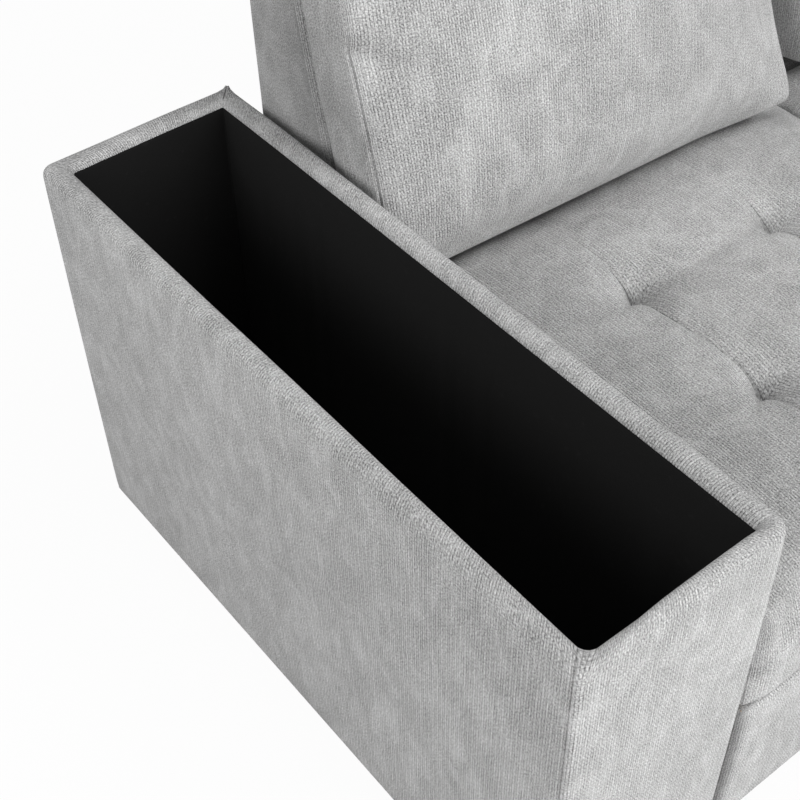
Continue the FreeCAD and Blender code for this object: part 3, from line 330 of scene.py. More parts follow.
def makePiece(name, patches, finish):
    # grids of points with the weave laid over each, sewn together where they meet
    points, lays, ways, faces, start = [], [], [], [], 0
    for grid, lay, way in patches:
        rows, columns = grid.shape[:2]
        points.append(grid.reshape(-1, 3))
        lays.append(lay.reshape(-1, 2))
        ways.append(np.broadcast_to(way, (rows, columns)).ravel())
        faces.append(gridFaces(rows, columns) + start)
        start += rows * columns
    points, lays, faces = np.concatenate(points), np.concatenate(lays), np.concatenate(faces)
    _, first, index = np.unique(np.round(points * 1e5), axis=0, return_index=True,
                                return_inverse=True)
    sewn = index.reshape(-1)[faces]
    mesh = bpy.data.meshes.new(name)
    mesh.from_pydata(points[first].tolist(), [], sewn.tolist())
    layer = mesh.uv_layers.new(name="weave")
    layer.data.foreach_set("uv", lays[faces.ravel()].astype(np.float32).ravel())
    way = mesh.attributes.new("way", "FLOAT", "POINT")
    way.data.foreach_set("value", np.concatenate(ways)[first].astype(np.float32))
    mesh.polygons.foreach_set("use_smooth", np.ones(len(sewn), bool))
    work = bmesh.new()
    work.from_mesh(mesh)
    bmesh.ops.recalc_face_normals(work, faces=work.faces)
    work.to_mesh(mesh)
    work.free()
    mesh.materials.append(finish)
    piece = bpy.data.objects.new(name, mesh)
    scene.collection.objects.link(piece)
    return piece


def readPoints(piece):
    points = np.empty(len(piece.data.vertices) * 3, np.float32)
    piece.data.vertices.foreach_get("co", points)
    return points.reshape(-1, 3).astype(float)


def readWay(piece):
    way = np.empty(len(piece.data.vertices), np.float32)
    piece.data.attributes["way"].data.foreach_get("value", way)
    return way.astype(float)


def writePoints(piece, points):
    piece.data.vertices.foreach_set("co", points.astype(np.float32).ravel())
    piece.data.update()


def blockPatches(size, lines, form, sideRibs="z"):
    # six grids over a box that starts at 0, each with its weave in metres, then given their form
    xs, ys, zs = lines
    wide, deep, high = size
    patches = []
    for z in (0, high):
        x, y = np.meshgrid(xs, ys, indexing="ij")
        patches.append((np.stack([x, y, np.full_like(x, z)], -1), np.stack([x, y], -1)))
    for y, lay in ((0, lambda z: z - high), (deep, lambda z: deep + high - z)):
        x, z = np.meshgrid(xs, zs, indexing="ij")
        patches.append((np.stack([x, np.full_like(x, y), z], -1), np.stack([x, lay(z)], -1)))
    for x in (0, wide):
        y, z = np.meshgrid(ys, zs, indexing="ij")
        lay = np.stack([y + 3 + x, z] if sideRibs == "z" else [z + 3 + x, y], -1)
        patches.append((np.stack([np.full_like(y, x), y, z], -1), lay))
    made = []
    for grid, lay in patches:
        x, y, z = np.moveaxis(grid, -1, 0)
        # inwards from the upper edge along the top, and negative down the sides
        way = np.minimum.reduce([x, wide - x, y, deep - y]) - (high - z)
        made.append((form(grid), lay, way))
    return made


def rounded(points, size, low, high):
    # the skin of a box pulled in to these radii at its low and high sides
    size, low, high = (np.asarray(v, float) for v in (size, low, high))
    core = np.clip(points, low, size - high)
    radius = np.where(points < core, low, high)
    out = (points - core) / np.maximum(radius, 1e-9)
    length = np.linalg.norm(out, axis=-1, keepdims=True)
    return core + radius * out / np.maximum(length, 1)


filling = {"pressure": 4.0, "stiffness": 15.0, "frames": 20}


def swell(piece, most, held):
    # cloth filled with air: most gives how far each point may move, held which points stay
    rest = readPoints(piece)
    pins = piece.vertex_groups.new(name="held")
    pins.add(np.flatnonzero(held(rest)).tolist(), 1.0, "REPLACE")
    cloth = piece.modifiers.new("swell", "CLOTH")
    settings = cloth.settings
    settings.quality = 5
    settings.use_pressure = True
    settings.uniform_pressure_force = filling["pressure"]
    settings.effector_weights.gravity = 0
    settings.vertex_group_mass = "held"
    settings.tension_stiffness = settings.compression_stiffness = filling["stiffness"]
    settings.shear_stiffness = filling["stiffness"] / 3
    settings.bending_stiffness = 0.5
    cloth.collision_settings.use_collision = False
    for step in range(filling["frames"]):
        scene.frame_set(step + 1)
    seen = piece.evaluated_get(bpy.context.evaluated_depsgraph_get())
    blown = np.empty(len(rest) * 3, np.float32)
    seen.data.vertices.foreach_get("co", blown)
    move = blown.reshape(-1, 3) - rest
    far = np.linalg.norm(move, axis=1, keepdims=True)
    cap = np.maximum(most(rest), 1e-6)[:, None]
    move *= cap * np.tanh(far / cap) / np.maximum(far, 1e-9)
    piece.modifiers.remove(cloth)
    piece.vertex_groups.remove(pins)
    writePoints(piece, rest + move)
    scene.frame_set(1)


def press(piece, depth):
    # every point moves in, square to the surface, by its depth
    normals = np.empty(len(piece.data.vertices) * 3, np.float32)
    piece.data.vertices.foreach_get("normal", normals)
    writePoints(piece, readPoints(piece) - normals.reshape(-1, 3) * depth[:, None])


def subdivide(piece):
    finer = piece.modifiers.new("finer", "SUBSURF")
    finer.levels = finer.render_levels = 1
    finer.uv_smooth = "PRESERVE_BOUNDARIES"
    seen = piece.evaluated_get(bpy.context.evaluated_depsgraph_get())
    mesh = bpy.data.meshes.new_from_object(seen)
    piece.modifiers.remove(finer)
    old = piece.data
    piece.data = mesh
    bpy.data.meshes.remove(old)
    mesh.name = piece.name


def waves(points, seed, size, count=5):
    # a few slow waves in every direction, from -1 to 1
    random = np.random.default_rng(seed)
    total = np.zeros(len(points))
    for _ in range(count):
        direction = random.normal(size=3)
        direction /= np.linalg.norm(direction)
        total += np.sin(points @ direction * (2 * math.pi / size) * random.uniform(0.7, 1.4)
                        + random.uniform(0, 2 * math.pi))
    return total / count


def finishPiece(piece, body, nodes):
    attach(piece, body)
    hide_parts(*nodes)


def corners(node):
    low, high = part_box(node)
    return np.array(low), np.array(high)


# Storage arms: a padded cover sewn of two pieces, each round one corner

def cornerLoop(low, high, radius, steps, spans):
    # a rectangle with round corners, counter-clockwise from the middle of its first corner
    ends = [(high[0], high[1], 0), (low[0], high[1], 90),
            (low[0], low[1], 180), (high[0], low[1], 270)]
    arcs = []
    for (x, y, start), r in zip(ends, radius):
        turn = np.radians(start + np.linspace(0, 90, steps + 1))
        centre = np.array([x - r * np.sign(x - (low[0] + high[0]) / 2),
                           y - r * np.sign(y - (low[1] + high[1]) / 2)])
        arcs.append(centre + r * np.stack([np.cos(turn), np.sin(turn)], -1))
    runs = []
    for number, arc in enumerate(arcs):
        after = arcs[(number + 1) % 4]
        share = np.linspace(0, 1, spans[number] + 1)[1:-1, None]
        runs += [arc, arc[-1] + (after[0] - arc[-1]) * share]
    ring = np.roll(np.concatenate(runs), -(steps // 2), axis=0)
    return np.concatenate([ring, ring[:1]])


armShape = {                         # mm
    "corner": (6, 9, 8, 15),         # rear inner seam, rear outer, front outer seam, front inner
    "mouth": (2, 4, 14, 2),          # the same corners of the opening
    "rimRound": 15, "lipRound": 11, "lipDrop": 16, "rimCrown": 0.6,
    "cornerDip": 3.5, "dipReach": 75,
    "wallSwell": 1.0, "ripple": 0.7,
    "seamDepth": 2.0, "seamWidth": 1.5, "seamBack": 5, "ear": 4.6, "earWidth": 3.6,
    "hem": 6, "hemRise": 0.5,
    "lining": 1.5, "proud": 0.6,     # lining of the boards, and how far it stands before them
}
roundShare = 0.72                    # of a narrow rim, that its outer round may take
lipShown = 7                         # steps of the lip's round that the lining leaves free


def makeArmCover(side):
    low, high = corners(f"{side}_arm_cover")
    mouthLow, mouthHigh = corners(f"{side}_arm_lining")
    shape = {key: np.array(value) * millimetre for key, value in armShape.items()}
    wall = shape["lining"]
    size = high - low
    # p runs from the outer side to the seat side, q from front to rear
    if side == "left":
        near, far = mouthLow[0] + wall - low[0], mouthHigh[0] - wall - low[0]
    else:
        near, far = high[0] - mouthHigh[0] + wall, high[0] - mouthLow[0] - wall
    # the front board's cover is drawn tighter than the others
    front, rear = mouthLow[1] + 0.2 * wall - low[1], mouthHigh[1] - wall - low[1]
    steps, spans = 16, (26, 84, 26, 84)
    outer = cornerLoop((0, 0), size[:2], shape["corner"], steps, spans)
    inner = cornerLoop((near, front), (far, rear), shape["mouth"], steps, spans)
    across = inner - outer
    rim = np.linalg.norm(across, axis=1)
    inward = across / rim[:, None]
    run = np.concatenate([[0], np.cumsum(np.linalg.norm(np.diff(outer, axis=0), axis=1))])
    total = run[-1]
    # the front seam lies a little round the corner, on the outer side
    frontSeam = run[2 * steps + spans[0] + spans[1]] - shape["seamBack"]

    # stations of the profile, from the floor up the wall, over the rim and down into the mouth:
    # a quarter circle outside, a flat, and a quarter circle inside, as far as the rim has room
    top = size[2]
    rimRound = np.minimum(shape["rimRound"], roundShare * rim)
    lipRound = np.minimum(shape["lipRound"], rim - rimRound)
    wallTop = top - rimRound
    rise = ticks(top, 0.013, 0.004, 0.03) / top
    turn = np.radians(np.linspace(0, 90, 10))
    inset = [np.zeros(len(rim)) for share in rise]
    height = [share * wallTop for share in rise]
    inset += [rimRound * (1 - math.cos(a)) for a in turn[1:]]
    height += [wallTop + rimRound * math.sin(a) for a in turn[1:]]
    inset += [rimRound + (rim - rimRound - lipRound) * share for share in (0.33, 0.67)]
    height += [np.full(len(rim), top)] * 2
    inset += [rim - lipRound * (1 - math.sin(a)) for a in turn]
    height += [top - lipRound * (1 - math.cos(a)) for a in turn]
    inset += [rim] * 2
    height += [top - lipRound - (shape["lipDrop"] - lipRound) * share for share in (0.5, 1.0)]
    inset, height = np.stack(inset), np.stack(height)
    lipStart = len(inset) - 2 - len(turn)
    # the rim's crown is a sine of the way across it, and the rear corner on the seat side dips
    overTop = smooth((height - wallTop + 0.002) / 0.004)
    across = np.clip(inset / rim, 0, 1)
    height = height + shape["rimCrown"] * np.sin(math.pi * across) * overTop
    fromCorner = np.hypot(size[0] - outer[:, 0], size[1] - outer[:, 1])
    dip = shape["cornerDip"] * hill(fromCorner, shape["dipReach"])
    height = height - dip * (1 - 0.7 * across) * smooth((height - top + 0.05) / 0.05)
    grid = np.concatenate([outer + inward * inset[..., None], height[..., None]], axis=-1)
    stepLengths = np.linalg.norm(np.diff(grid, axis=0), axis=-1)
    length = np.concatenate([[0], np.cumsum(np.median(stepLengths, axis=1))])
    lay = np.stack(np.meshgrid(run, length), -1)

    # the walls swell a little between floor and rim and between the corners
    z = grid[..., 2]
    onWall = smooth((top - z) / 0.05) * smooth(z / 0.02)
    outward = -inward[None]
    alongSide = np.abs(np.sin(2 * math.pi * run / total))[None]
    amount = shape["wallSwell"] * onWall * (0.5 + 0.5 * alongSide)
    ripple = waves(grid.reshape(-1, 3), seed=3, size=0.33).reshape(z.shape)
    amount = amount + shape["ripple"] * ripple * onWall
    # the two seams: a groove at the corner, from the floor over the rim, fading out at the mouth
    rearSeam = np.minimum(run, total - run)[None]
    seam, beside = (hill(rearSeam, width) + hill(run[None] - frontSeam, width)
                    for width in (shape["seamWidth"], 3 * shape["seamWidth"]))
    station = np.arange(len(z))[:, None]
    pull = shape["seamDepth"] * (seam - 0.2 * beside) * smooth((lipStart + 3.0 - station) / 4)
    grid[..., :2] += outward * (amount - pull)[..., None]
    grid[..., 2] -= pull * smooth((z - wallTop) / (0.7 * rimRound))
    # a small ear of folded cloth stands up at the top of the rear seam
    ear = shape["ear"] * hill(rearSeam, shape["earWidth"]) * hill(station - (len(rise) + 4), 2.5)
    grid[..., 2] += ear
    grid[..., :2] += outward * (0.6 * ear)[..., None]

    # a turned hem under the walls
    under = grid[0].copy()
    under[:, :2] += inward * shape["hem"]
    under[:, 2] += shape["hemRise"]
    grid = np.concatenate([under[None], grid])
    lay = np.concatenate([lay[:1] - [0, shape["hem"]], lay])
    place = np.array([low[0] if side == "left" else high[0], low[1], low[2]])
    grid = place + grid * [1 if side == "left" else -1, 1, 1]
    inward = inward * [1 if side == "left" else -1, 1]
    piece = makePiece(f"{side}_arm_padding", [(grid, lay, 0)], finishes["upholstery"])
    finishPiece(piece, "sofa_frame", [f"{side}_arm_cover"])
    # the lining covers the lower part of the lip's round
    lip = slice(lipStart + 1 + lipShown, lipStart + 1 + len(turn))
    return grid[lip][::-1], inward, turn[lipShown:][::-1], run


liningShape = {"folds": 26, "fold": 1.6 * millimetre, "sag": 0.8 * millimetre, "sagTurns": 17}


def makeArmLining(side, lip, inward, turn, run):
    # black cloth glued to the boards and a little way up over the lip, with soft upright folds
    low, high = corners(f"{side}_arm_lining")
    proud = armShape["proud"] * millimetre
    floor = low[2] + armShape["lining"] * millimetre + proud
    # each ring of the lip, set off square to its round
    over = lip + proud * np.concatenate([
        inward[None] * np.sin(turn)[:, None, None],
        np.broadcast_to(np.cos(turn)[:, None, None], lip.shape[:2] + (1,))], axis=-1)
    edge = over[0]
    share = ticks(1.0, 0.04, 0.016, 0.08)[:-1, None, None]
    foot = np.concatenate([edge[:, :2], np.full((len(edge), 1), floor)], axis=1)
    walls = foot + (edge - foot) * share
    grid = np.concatenate([walls, over])
    # folds: a few soft ridges at uneven distances, which fade out at both ends
    random = np.random.default_rng(11)
    fold = np.zeros(len(run))
    for spot in random.uniform(0.03, run[-1] - 0.03, liningShape["folds"]):
        fold += random.uniform(0.4, 1.0) * hill(run - spot, random.uniform(0.004, 0.014))
    z = grid[..., 2]
    fade = smooth((edge[:, 2] - z) / 0.12) * smooth((z - floor) / 0.03)
    grid[..., :2] += inward * (liningShape["fold"] * fold * fade)[..., None]
    lay = np.stack([np.broadcast_to(run, z.shape), z], -1)
    inLow, inHigh = edge[:, :2].min(axis=0), edge[:, :2].max(axis=0)
    wide, deep = inHigh - inLow
    x, y = np.meshgrid(np.linspace(inLow[0], inHigh[0], 12), np.linspace(inLow[1], inHigh[1], 40),
                       indexing="ij")
    # the cloth on the floor of the box lies in low waves
    sag = (np.sin((x - inLow[0]) / wide * math.pi)
           * np.sin((y - inLow[1]) * liningShape["sagTurns"]) ** 2)
    level = floor + liningShape["sag"] * sag
    bottom = (np.stack([x, y, level], -1), np.stack([x, y], -1), 0)
    piece = makePiece(f"{side}_arm_lining_cloth", [(grid, lay, 0), bottom], finishes["lining"])
    finishPiece(piece, "sofa_frame", [f"{side}_arm_lining"])
    tall = over[-1, :, 2].max() - floor
    wide + 2 * tall
    deep + 2 * tall
    wide * deep + 2 * tall * (wide + deep)


for side in ("left", "right"):
    makeArmLining(side, *makeArmCover(side))
print("arms")


# Seats: foam under a tufted cover, sewn down in points, with a crease along each column of tufts

tufting = {                                   # metres
    "margin": 0.237, "pitch": 0.216,          # columns, from the seat's left side
    "row": 0.200, "rowPitch": 0.194,          # rows, from the arm's front
    "slip": (0.008, -0.008),                  # tufts of each column behind or before their row
    "depth": 0.024, "wide": 0.026, "narrow": 0.010, "core": 0.008, "coreWide": 0.007,
    "crease": 0.0110, "creaseEnd": 0.0006, "creaseReach": 0.068, "behind": 0.110,
    "groove": 0.0058, "grooveAt": 0.0006, "grooveWide": 0.0015, "rowGrooveWide": 0.0017,
    "steep": 0.0032, "gentle": 0.016, "stray": 0.003,
    "rowCrease": 0.0085, "leftReach": 0.026, "rightReach": 0.036,
}
armFront = corners("left_arm_cover")[0][1]


def foldStep(way, steep, gentle):
    # the surface rolls steeply down to a crease on one side and rises gently beyond it
    before, beyond = np.minimum(way, 0), np.maximum(way, 0)
    return np.where(way < 0, np.exp(before / steep), np.exp(-beyond / gentle))


def tuftField(x, y, columns, rows):
    # how far the surface sinks at each place
    steep, gentle, at = tufting["steep"], tufting["gentle"], tufting["grooveAt"]
    sink = np.zeros_like(x)
    for column, slip in zip(columns, tufting["slip"]):
        spots = np.array(rows) + slip
        nearest = np.min([np.abs(y - row) for row in spots], axis=0)
        stray = tufting["stray"] * np.sin(y * 23 + column * 9) * smooth(nearest / 0.04)
        side = x - column - stray
        close = np.exp(-nearest / tufting["creaseReach"])
        # the crease is weaker behind the rear tuft
        close = close * np.exp(-np.maximum(y - max(spots), 0) / tufting["behind"])
        crease = tufting["creaseEnd"] + tufting["crease"] * close
        sink += crease * foldStep(side, steep, gentle)
        sink += tufting["groove"] * close * hill(side - at, tufting["grooveWide"])
        for row in spots:
            dx, dy = x - column, y - row
            away = np.hypot(dx, dy)
            # a tuft is narrow towards the front left and wide towards the rear right
            facing = (dx + dy) / np.maximum(away, 1e-6) / math.sqrt(2)
            spread = (0.5 + 0.5 * facing) ** 1.2
            wide = tufting["narrow"] + (tufting["wide"] - tufting["narrow"]) * spread
            sink += tufting["depth"] * np.exp(-(away / wide) ** 1.15)
            sink += tufting["core"] * hill(away, tufting["coreWide"])
            # short creases to both sides, the left one bent towards the front
            bent = dy + np.where(dx < 0, 0.35 * np.abs(dx), -0.1 * dx)
            reach = np.where(dx < 0, hill(dx, tufting["leftReach"]),
                             0.5 * hill(dx, tufting["rightReach"]))
            sink += tufting["rowCrease"] * reach * foldStep(bent, steep, 0.7 * gentle)
            sink += 0.5 * tufting["groove"] * reach * hill(bent - at, tufting["rowGrooveWide"])
    return sink


seatShape = {                                 # metres
    "inset": 0.0012, "foot": 0.007, "under": 0.006, "rise": 0.0006, "spare": 0.002,
    "rearReach": 0.09, "sideIn": 0.003, "frontIn": 0.002, "bellyReach": 0.06, "bellySide": 0.03,
    "pinned": 0.012, "sidePinned": 0.004, "ripple": 0.0012,
}


def makeSeat(name, node, body, columnsFrom=0.0, rows=(), crown=0.024, round=0.024,
             most=0.009, belly=0.007, rearRound=None, rearLift=0.0, longer=(0.0, 0.0)):
    low, high = corners(node)
    low[1] -= longer[0]
    high[1] += longer[1]
    rearRound = round if rearRound is None else rearRound
    inset, foot, under = seatShape["inset"], seatShape["foot"], seatShape["under"]
    start = low + [inset, 0, seatShape["rise"]]
    size = high - low - [2 * inset, inset, crown + seatShape["spare"]]
    columns = [columnsFrom + tufting["margin"] + n * tufting["pitch"] for n in range(2)]
    columns = columns if rows else []
    marksX = [column - start[0] for column in columns]
    marksY = [row - start[1] for row in rows]
    xs = ticks(size[0], 0.013, 0.0022, 0.022, marksX)
    ys = ticks(size[1], 0.013, 0.0035, 0.022, marksY)
    zs = ticks(size[2], 0.012, 0.004, 0.025)

    def form(grid):
        # round corners above, nearly square ones at the foot, where the seat lies on its frame
        wider = 1.3 * round
        point = rounded(grid, size, (foot, foot, under), (foot, foot, round))
        upper = rounded(grid, size, (wider, wider, under), (wider, rearRound, round))
        point += (upper - point) * smooth(grid[..., 2:] / (0.55 * size[2]))
        a, b, c = np.moveaxis(point / size, -1, 0)
        middle = (1 - np.abs(2 * a - 1) ** 3.2) * (1 - np.abs(2 * b - 1) ** 3.2)
        lift = smooth((c - 0.4) / 0.6)
        point[..., 2] += crown * middle ** 0.8 * lift
        rear = smooth(1 - (1 - b) * size[1] / seatShape["rearReach"])
        point[..., 2] += rearLift * rear * lift
        # sides draw in between the corners
        point[..., 0] += seatShape["sideIn"] * (1 - (2 * b - 1) ** 2) * (1 - 2 * a)
        point[..., 1] += seatShape["frontIn"] * (1 - (2 * a - 1) ** 2) * (1 - 2 * b)
        # the front bellies out over its lower half, less beside the arm
        fromSide = np.minimum(a, 1 - a) * size[0] / seatShape["bellySide"]
        ahead = smooth(1 - b * size[1] / seatShape["bellyReach"]) * smooth(fromSide)
        point[..., 1] -= belly * ahead * smooth((0.85 - c) / 0.5)
        return point + start

    piece = makePiece(name, blockPatches(size, (xs, ys, zs), form), finishes["upholstery"])
    top = start[2] + size[2]

    def held(points):
        still = points[:, 2] < start[2] + 0.55 * size[2]
        for column in columns:
            for row in rows:
                away = np.hypot(points[:, 0] - column, points[:, 1] - row)
                still |= away < seatShape["pinned"]
        still |= points[:, 0] < low[0] + seatShape["sidePinned"]
        still |= points[:, 0] > high[0] - seatShape["sidePinned"]
        return still

    swell(piece, lambda points: np.full(len(points), most), held)
    subdivide(piece)
    points = readPoints(piece)
    onTop = smooth((points[:, 2] - (top - 0.03)) / 0.02)
    if columns:
        points[:, 2] -= tuftField(points[:, 0], points[:, 1], columns, rows) * onTop
    points[:, 2] += seatShape["ripple"] * waves(points, seed=5, size=0.16) * onTop
    writePoints(piece, points)
    finishPiece(piece, body, [node])


def tuftRows(numbers):
    return [armFront + tufting["row"] + n * tufting["rowPitch"] for n in numbers]


for side, node in (("left", "left_seat_cushion"), ("right", "right_seat_cushion")):
    makeSeat(f"{side}_seat", node, "sofa_frame", corners(node)[0][0], tuftRows(range(2)))
lidLow, lidHigh = corners("chaise_lid_cushion")
lidRows = [row for row in tuftRows(range(1, -4, -1)) if lidLow[1] + 0.08 < row < lidHigh[1] - 0.04]
makeSeat("chaise_lid_seat", "chaise_lid_cushion", "chaise_lid", lidLow[0], lidRows,
         rearRound=0.007, rearLift=0.007, longer=(0, 0.0008))
makeSeat("chaise_rear_seat", "chaise_rear_cushion", "sofa_frame", crown=0.002, round=0.007,
         most=0.004, belly=0, longer=(0.003, 0))
makeSeat("platform_mattress", "platform_cushion", "bed", crown=0.012, round=0.014,
         most=0.004, belly=0)
print("seats")


# Backrests and the bed's front: padded boards

backShape = {                                 # metres
    "topDeep": 0.0575, "low": (0.030, 0.080, 0.004), "high": (0.030, 0.012, 0.014),
    "puff": 0.004, "ripple": 0.0010, "seamDrop": 0.048, "seamDepth": 0.0016, "seamWidth": 0.0022,
}
backLow, backHigh = corners("sofa_back_cover")
footDeep = backHigh[1] - backLow[1]
lean = math.atan((footDeep - backShape["topDeep"]) / (backHigh[2] - backLow[2]))


def makeBack(name, node):
    low, high = corners(node)
    size = high - low
    xs = ticks(size[0], 0.020, 0.004, 0.03)
    ys = ticks(size[1], 0.018, 0.004, 0.025)
    zs = ticks(size[2], 0.018, 0.004, 0.03, (size[2] - backShape["seamDrop"],))

    def form(grid):
        point = rounded(grid, size, backShape["low"], backShape["high"])
        a, b, c = np.moveaxis(point / size, -1, 0)
        # the front leans back: the depth shrinks evenly from foot to top
        deep = footDeep + (backShape["topDeep"] - footDeep) * c
        puff = (1 - np.abs(2 * a - 1) ** 4) * (1 - np.abs(2 * c - 1) ** 4)
        point[..., 1] = size[1] - (1 - b) * deep + (0.5 - b) * backShape["puff"] * (puff - 1)
        return point + low

    piece = makePiece(name, blockPatches(size, (xs, ys, zs), form), finishes["upholstery"])
    subdivide(piece)
    points = readPoints(piece)
    ripple = waves(points, seed=9, size=0.25) * smooth((high[2] - points[:, 2]) / 0.05)
    points[:, 1] += backShape["ripple"] * ripple
    # a flat seam goes round the cover below its top
    level = high[2] - backShape["seamDrop"]
    seam = hill(points[:, 2] - level, backShape["seamWidth"]) * backShape["seamDepth"]
    across = points[:, 0] - (low[0] + high[0]) / 2
    sideways = np.sign(across) * (np.abs(across) > size[0] / 2 - 0.02)
    points[:, 0] -= seam * sideways
    ahead = high[1] - backShape["topDeep"] / 2 - points[:, 1]
    points[:, 1] += seam * np.sign(ahead) * (sideways == 0)
    writePoints(piece, points)
    finishPiece(piece, "sofa_frame", [node])


makeBack("sofa_backrest", "sofa_back_cover")
makeBack("chaise_backrest", "chaise_back_cover")

panelShape = {                                # metres
    "spare": 0.0012,                          # beside the arm and the chaise
    "low": (0.009, 0.012, 0.0055), "high": (0.009, 0.002, 0.0055), "puff": 0.004, "ripple": 0.0007,
}


def makeFrontPanel():
    low, high = corners("bed_front_cover")
    low[0] += panelShape["spare"]
    high[0] -= panelShape["spare"]
    size = high - low
    xs = ticks(size[0], 0.016, 0.004, 0.03)
    ys = ticks(size[1], 0.008, 0.003, 0.01)
    zs = ticks(size[2], 0.014, 0.004, 0.03)

    def form(grid):
        point = rounded(grid, size, panelShape["low"], panelShape["high"])
        a, b, c = np.moveaxis(point / size, -1, 0)
        puff = (1 - np.abs(2 * a - 1) ** 6) * (1 - np.abs(2 * c - 1) ** 4)
        point[..., 1] -= panelShape["puff"] * puff * (1 - b)
        return point + low

    piece = makePiece("bed_front_padding", blockPatches(size, (xs, ys, zs), form),
                      finishes["upholstery"])
    subdivide(piece)
    points = readPoints(piece)
    inFront = points[:, 1] < low[1] + size[1] / 2
    points[:, 1] += panelShape["ripple"] * waves(points, seed=21, size=0.2) * inFront
    writePoints(piece, points)
    finishPiece(piece, "bed", ["bed_front_cover"])


makeFrontPanel()


# Chaise: a padded cover round the box

chaiseShape = {                               # metres
    "corner": (0.006, 0.006, 0.014, 0.014),   # rear ones, then the front ones
    "turnIn": 0.005, "turnReach": 0.004, "puff": 0.0022, "ripple": 0.0007,
    "seamDepth": 0.0014, "seamWidth": 0.0022, "fold": 0.008, "clear": 0.0004, "inner": 0.001,
}


def makeChaiseCover():
    low, high = corners("chaise_cover")
    boardLow, boardHigh = corners("chaise_bottom_board")
    steps, spans = 10, (60, 120, 60, 120)
    clear = chaiseShape["clear"]
    outer = cornerLoop(low[:2], high[:2], chaiseShape["corner"], steps, spans)
    inner = cornerLoop(boardLow[:2] - clear, boardHigh[:2] + clear, 4 * [chaiseShape["inner"]],
                       steps, spans)
    across = inner - outer
    rim = np.linalg.norm(across, axis=1)
    inward = across / rim[:, None]
    run = np.concatenate([[0], np.cumsum(np.linalg.norm(np.diff(outer, axis=0), axis=1))])
    tall = high[2] - low[2]
    heights = ticks(tall, 0.012, 0.003, 0.02)
    rows = []
    for z in heights:
        # the edges at floor and top turn in over a few millimetres
        reach = chaiseShape["turnReach"]
        turn = chaiseShape["turnIn"] * (hill(z, reach) + hill(tall - z, reach))
        puff = chaiseShape["puff"] * math.sin(math.pi * z / tall)
        flat = outer + inward * (turn - puff)
        rows.append(np.concatenate([flat, np.full((len(flat), 1), low[2] + z)], axis=1))
    for z in (tall, 0):
        ring = np.concatenate([inner, np.full((len(inner), 1), low[2] + z)], axis=1)
        rows.append(ring) if z else rows.insert(0, ring)
    grid = np.stack(rows)
    level = np.concatenate([[-chaiseShape["fold"]], heights, [tall + chaiseShape["fold"]]])
    lay = np.stack(np.meshgrid(run, level), -1)
    # seams at the two front corners
    first = run[2 * steps + spans[0] + spans[1]]
    second = run[3 * steps + spans[0] + spans[1] + spans[2]]
    seam = sum(hill(run - spot, chaiseShape["seamWidth"]) for spot in (first, second))
    grid[..., :2] += inward * (chaiseShape["seamDepth"] * seam)[:, None]
    z = grid[..., 2]
    onWall = smooth((z - low[2]) / 0.03) * smooth((high[2] - z) / 0.03)
    ripple = waves(grid.reshape(-1, 3), seed=31, size=0.22).reshape(z.shape) * onWall
    grid[..., :2] += inward * (chaiseShape["ripple"] * ripple)[..., None]
    inside = (np.stack([grid[-1], grid[0]]), np.stack([lay[-1], lay[0]]), 0)
    piece = makePiece("chaise_box_padding", [(grid, lay, 0), inside], finishes["upholstery"])
    finishPiece(piece, "sofa_frame", ["chaise_cover"])


makeChaiseCover()
print("covers")


# Loose back cushions: two faces and a side strip, filled so that the faces crown

cushionShape = {                              # metres
    "side": 0.020, "bottom": 0.016, "face": 0.022, "rearEdge": 0.022, "raised": (0.001, 0.0006),
    "crown": 0.034, "crownKept": 0.9, "fullness": 1.7, "narrower": 0.033, "lower": 0.006,
    "drawIn": 0.039, "topIn": 0.006, "bulge": 0.004, "most": 0.018, "least": 0.003,
    "seamAt": 0.004, "seamDepth": 0.0026, "seamWidth": 0.0017,
    "cornerFold": 0.005, "ripple": 0.0022,
    "foldFrom": 0.290, "foldTo": 0.262, "foldDepth": 0.0085, "foldWidth": 0.008,
    "restReach": 0.040, "restBack": 0.036,
    "aside": -0.004 / 3.4,                    # per degree askew
}


